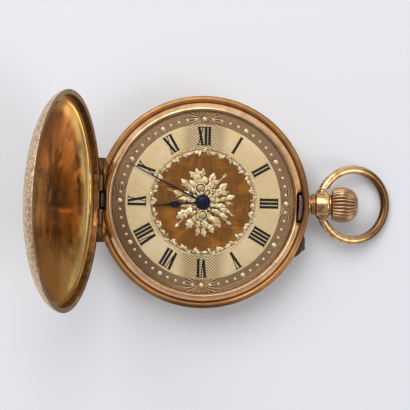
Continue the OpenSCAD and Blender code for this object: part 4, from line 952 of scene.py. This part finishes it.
def floor():
    """A pale paper floor just under the watch, darker towards four and five by painted shade."""
    half, drop = 2, 0.02 * MM
    me = bpy.data.meshes.new("floor")
    corners = [(-half, -half, 0), (half, -half, 0), (half, half, 0), (-half, half, 0)]
    me.from_pydata(corners, [], [(0, 1, 2, 3)])
    ob = add_object("floor", me)
    ob.location.z = -drop
    m, g, shader = new_material("floor_paper")
    at = g.place()
    tone = g.ramp(g.noise(at, 6), (0.985, 0.985, 0.985), (1, 1, 1))
    x, y, _ = g.xyz(g.vector("MULTIPLY", at, (1, -1, 1)))
    way = g.span(g.math("ADD", x, y), -50 * MM, 50 * MM, soft=True)
    # Painted shade: the floor darkens a little towards four and five.
    painted_floor_shade = g.mix(way, (0.748, 0.758, 0.788), (0.718, 0.728, 0.760))
    for socket, value in (("Base Color", g.mix(1.0, tone, painted_floor_shade, "MULTIPLY")), ("Roughness", 0.9),
                          ("Specular IOR Level", 0.1)):
        g.put(shader.inputs[socket], value)
    me.materials.append(m)


def world():
    """A studio that is darker overhead, brighter round the sides, and brightest beyond twelve."""
    w = bpy.data.worlds.new("studio")
    bpy.context.scene.world = w
    w.use_nodes = True
    g = Graph(w.node_tree)
    _, y, z = g.xyz(g.node("TexCoord").outputs["Generated"])
    low = g.ramp(z, (0.80, 0.79, 0.78), (0.62, 0.615, 0.62), 0.0, 0.4)
    back = w.node_tree.nodes["Background"]
    g.put(back.inputs["Color"], g.mix(g.span(z, 0.4, 1.0), low, (0.46, 0.46, 0.48)))
    g.put(back.inputs["Strength"], g.span(y, -1, 1, 0.62, 1.16))


def lamp(name, at, size, power):
    """A square lamp of this size in metres and power in watts, turned to the watch."""
    light = bpy.data.lights.new(name, "AREA")
    light.size = size
    light.energy = power
    ob = add_object(name, light)
    ob.location = at
    aim = Vector((0, 0, 5 * MM)) - Vector(at)
    ob.rotation_euler = aim.to_track_quat("-Z", "Y").to_euler()


def camera():
    """Straight above the dial, at the distance that gives the photo's perspective.

    It stands beyond the middle towards twelve, and its shift takes the picture back, so that it
    sees the watch slightly from there, as the photo does. All measures are in mm.
    """
    width, distance, roll = 65.6, 308, math.radians(1.3)
    beyond, right, below = 6.0, 0.34, 0.45
    cam = bpy.data.cameras.new("camera")
    cam.sensor_width = 36
    cam.lens = cam.sensor_width * distance / width
    cam.clip_start = 0.01
    cam.shift_x = -beyond * math.sin(roll) / width
    cam.shift_y = -beyond * math.cos(roll) / width
    ob = add_object("camera", cam)
    ob.location = (right * MM, (beyond - below) * MM, (distance + DIAL_Z) * MM)
    ob.rotation_euler = (0, 0, roll)
    bpy.context.scene.camera = ob
    bpy.context.scene.view_settings.view_transform = "Standard"


cover("hunter_lid", "front_cover", LEDGE_Z + COVER_LIFT, COVER_H, COVER_FLAT_R, 1, "inside", opened)
cover("back_lid", "back_cover", BACK_H - COVER_LIFT, BACK_H - COVER_LIFT, BACK_FLAT_R, -1, "bezel")
crown()
bow()
dial()
beads()
numerals()
flowers()
border()
hand("hour_hand_spade", "hour_hand", SPADE, 0.2, 0.12, 0.018, 90 - TIME_SHOWN / 2, HOUR_BOSS, 48)
hand("minute_hand_blade", "minute_hand", BLADE, 0.45, 0.11, 0.015, 90 - 6 * (TIME_SHOWN % 60),
     MINUTE_BOSS, 64)
dress_solids()
floor()
world()
lamp("key", (-0.30, 0.75, 1.15), 1.1, 13.5)
lamp("fill", (0.9, -0.3, 0.9), 0.7, 4)
camera()
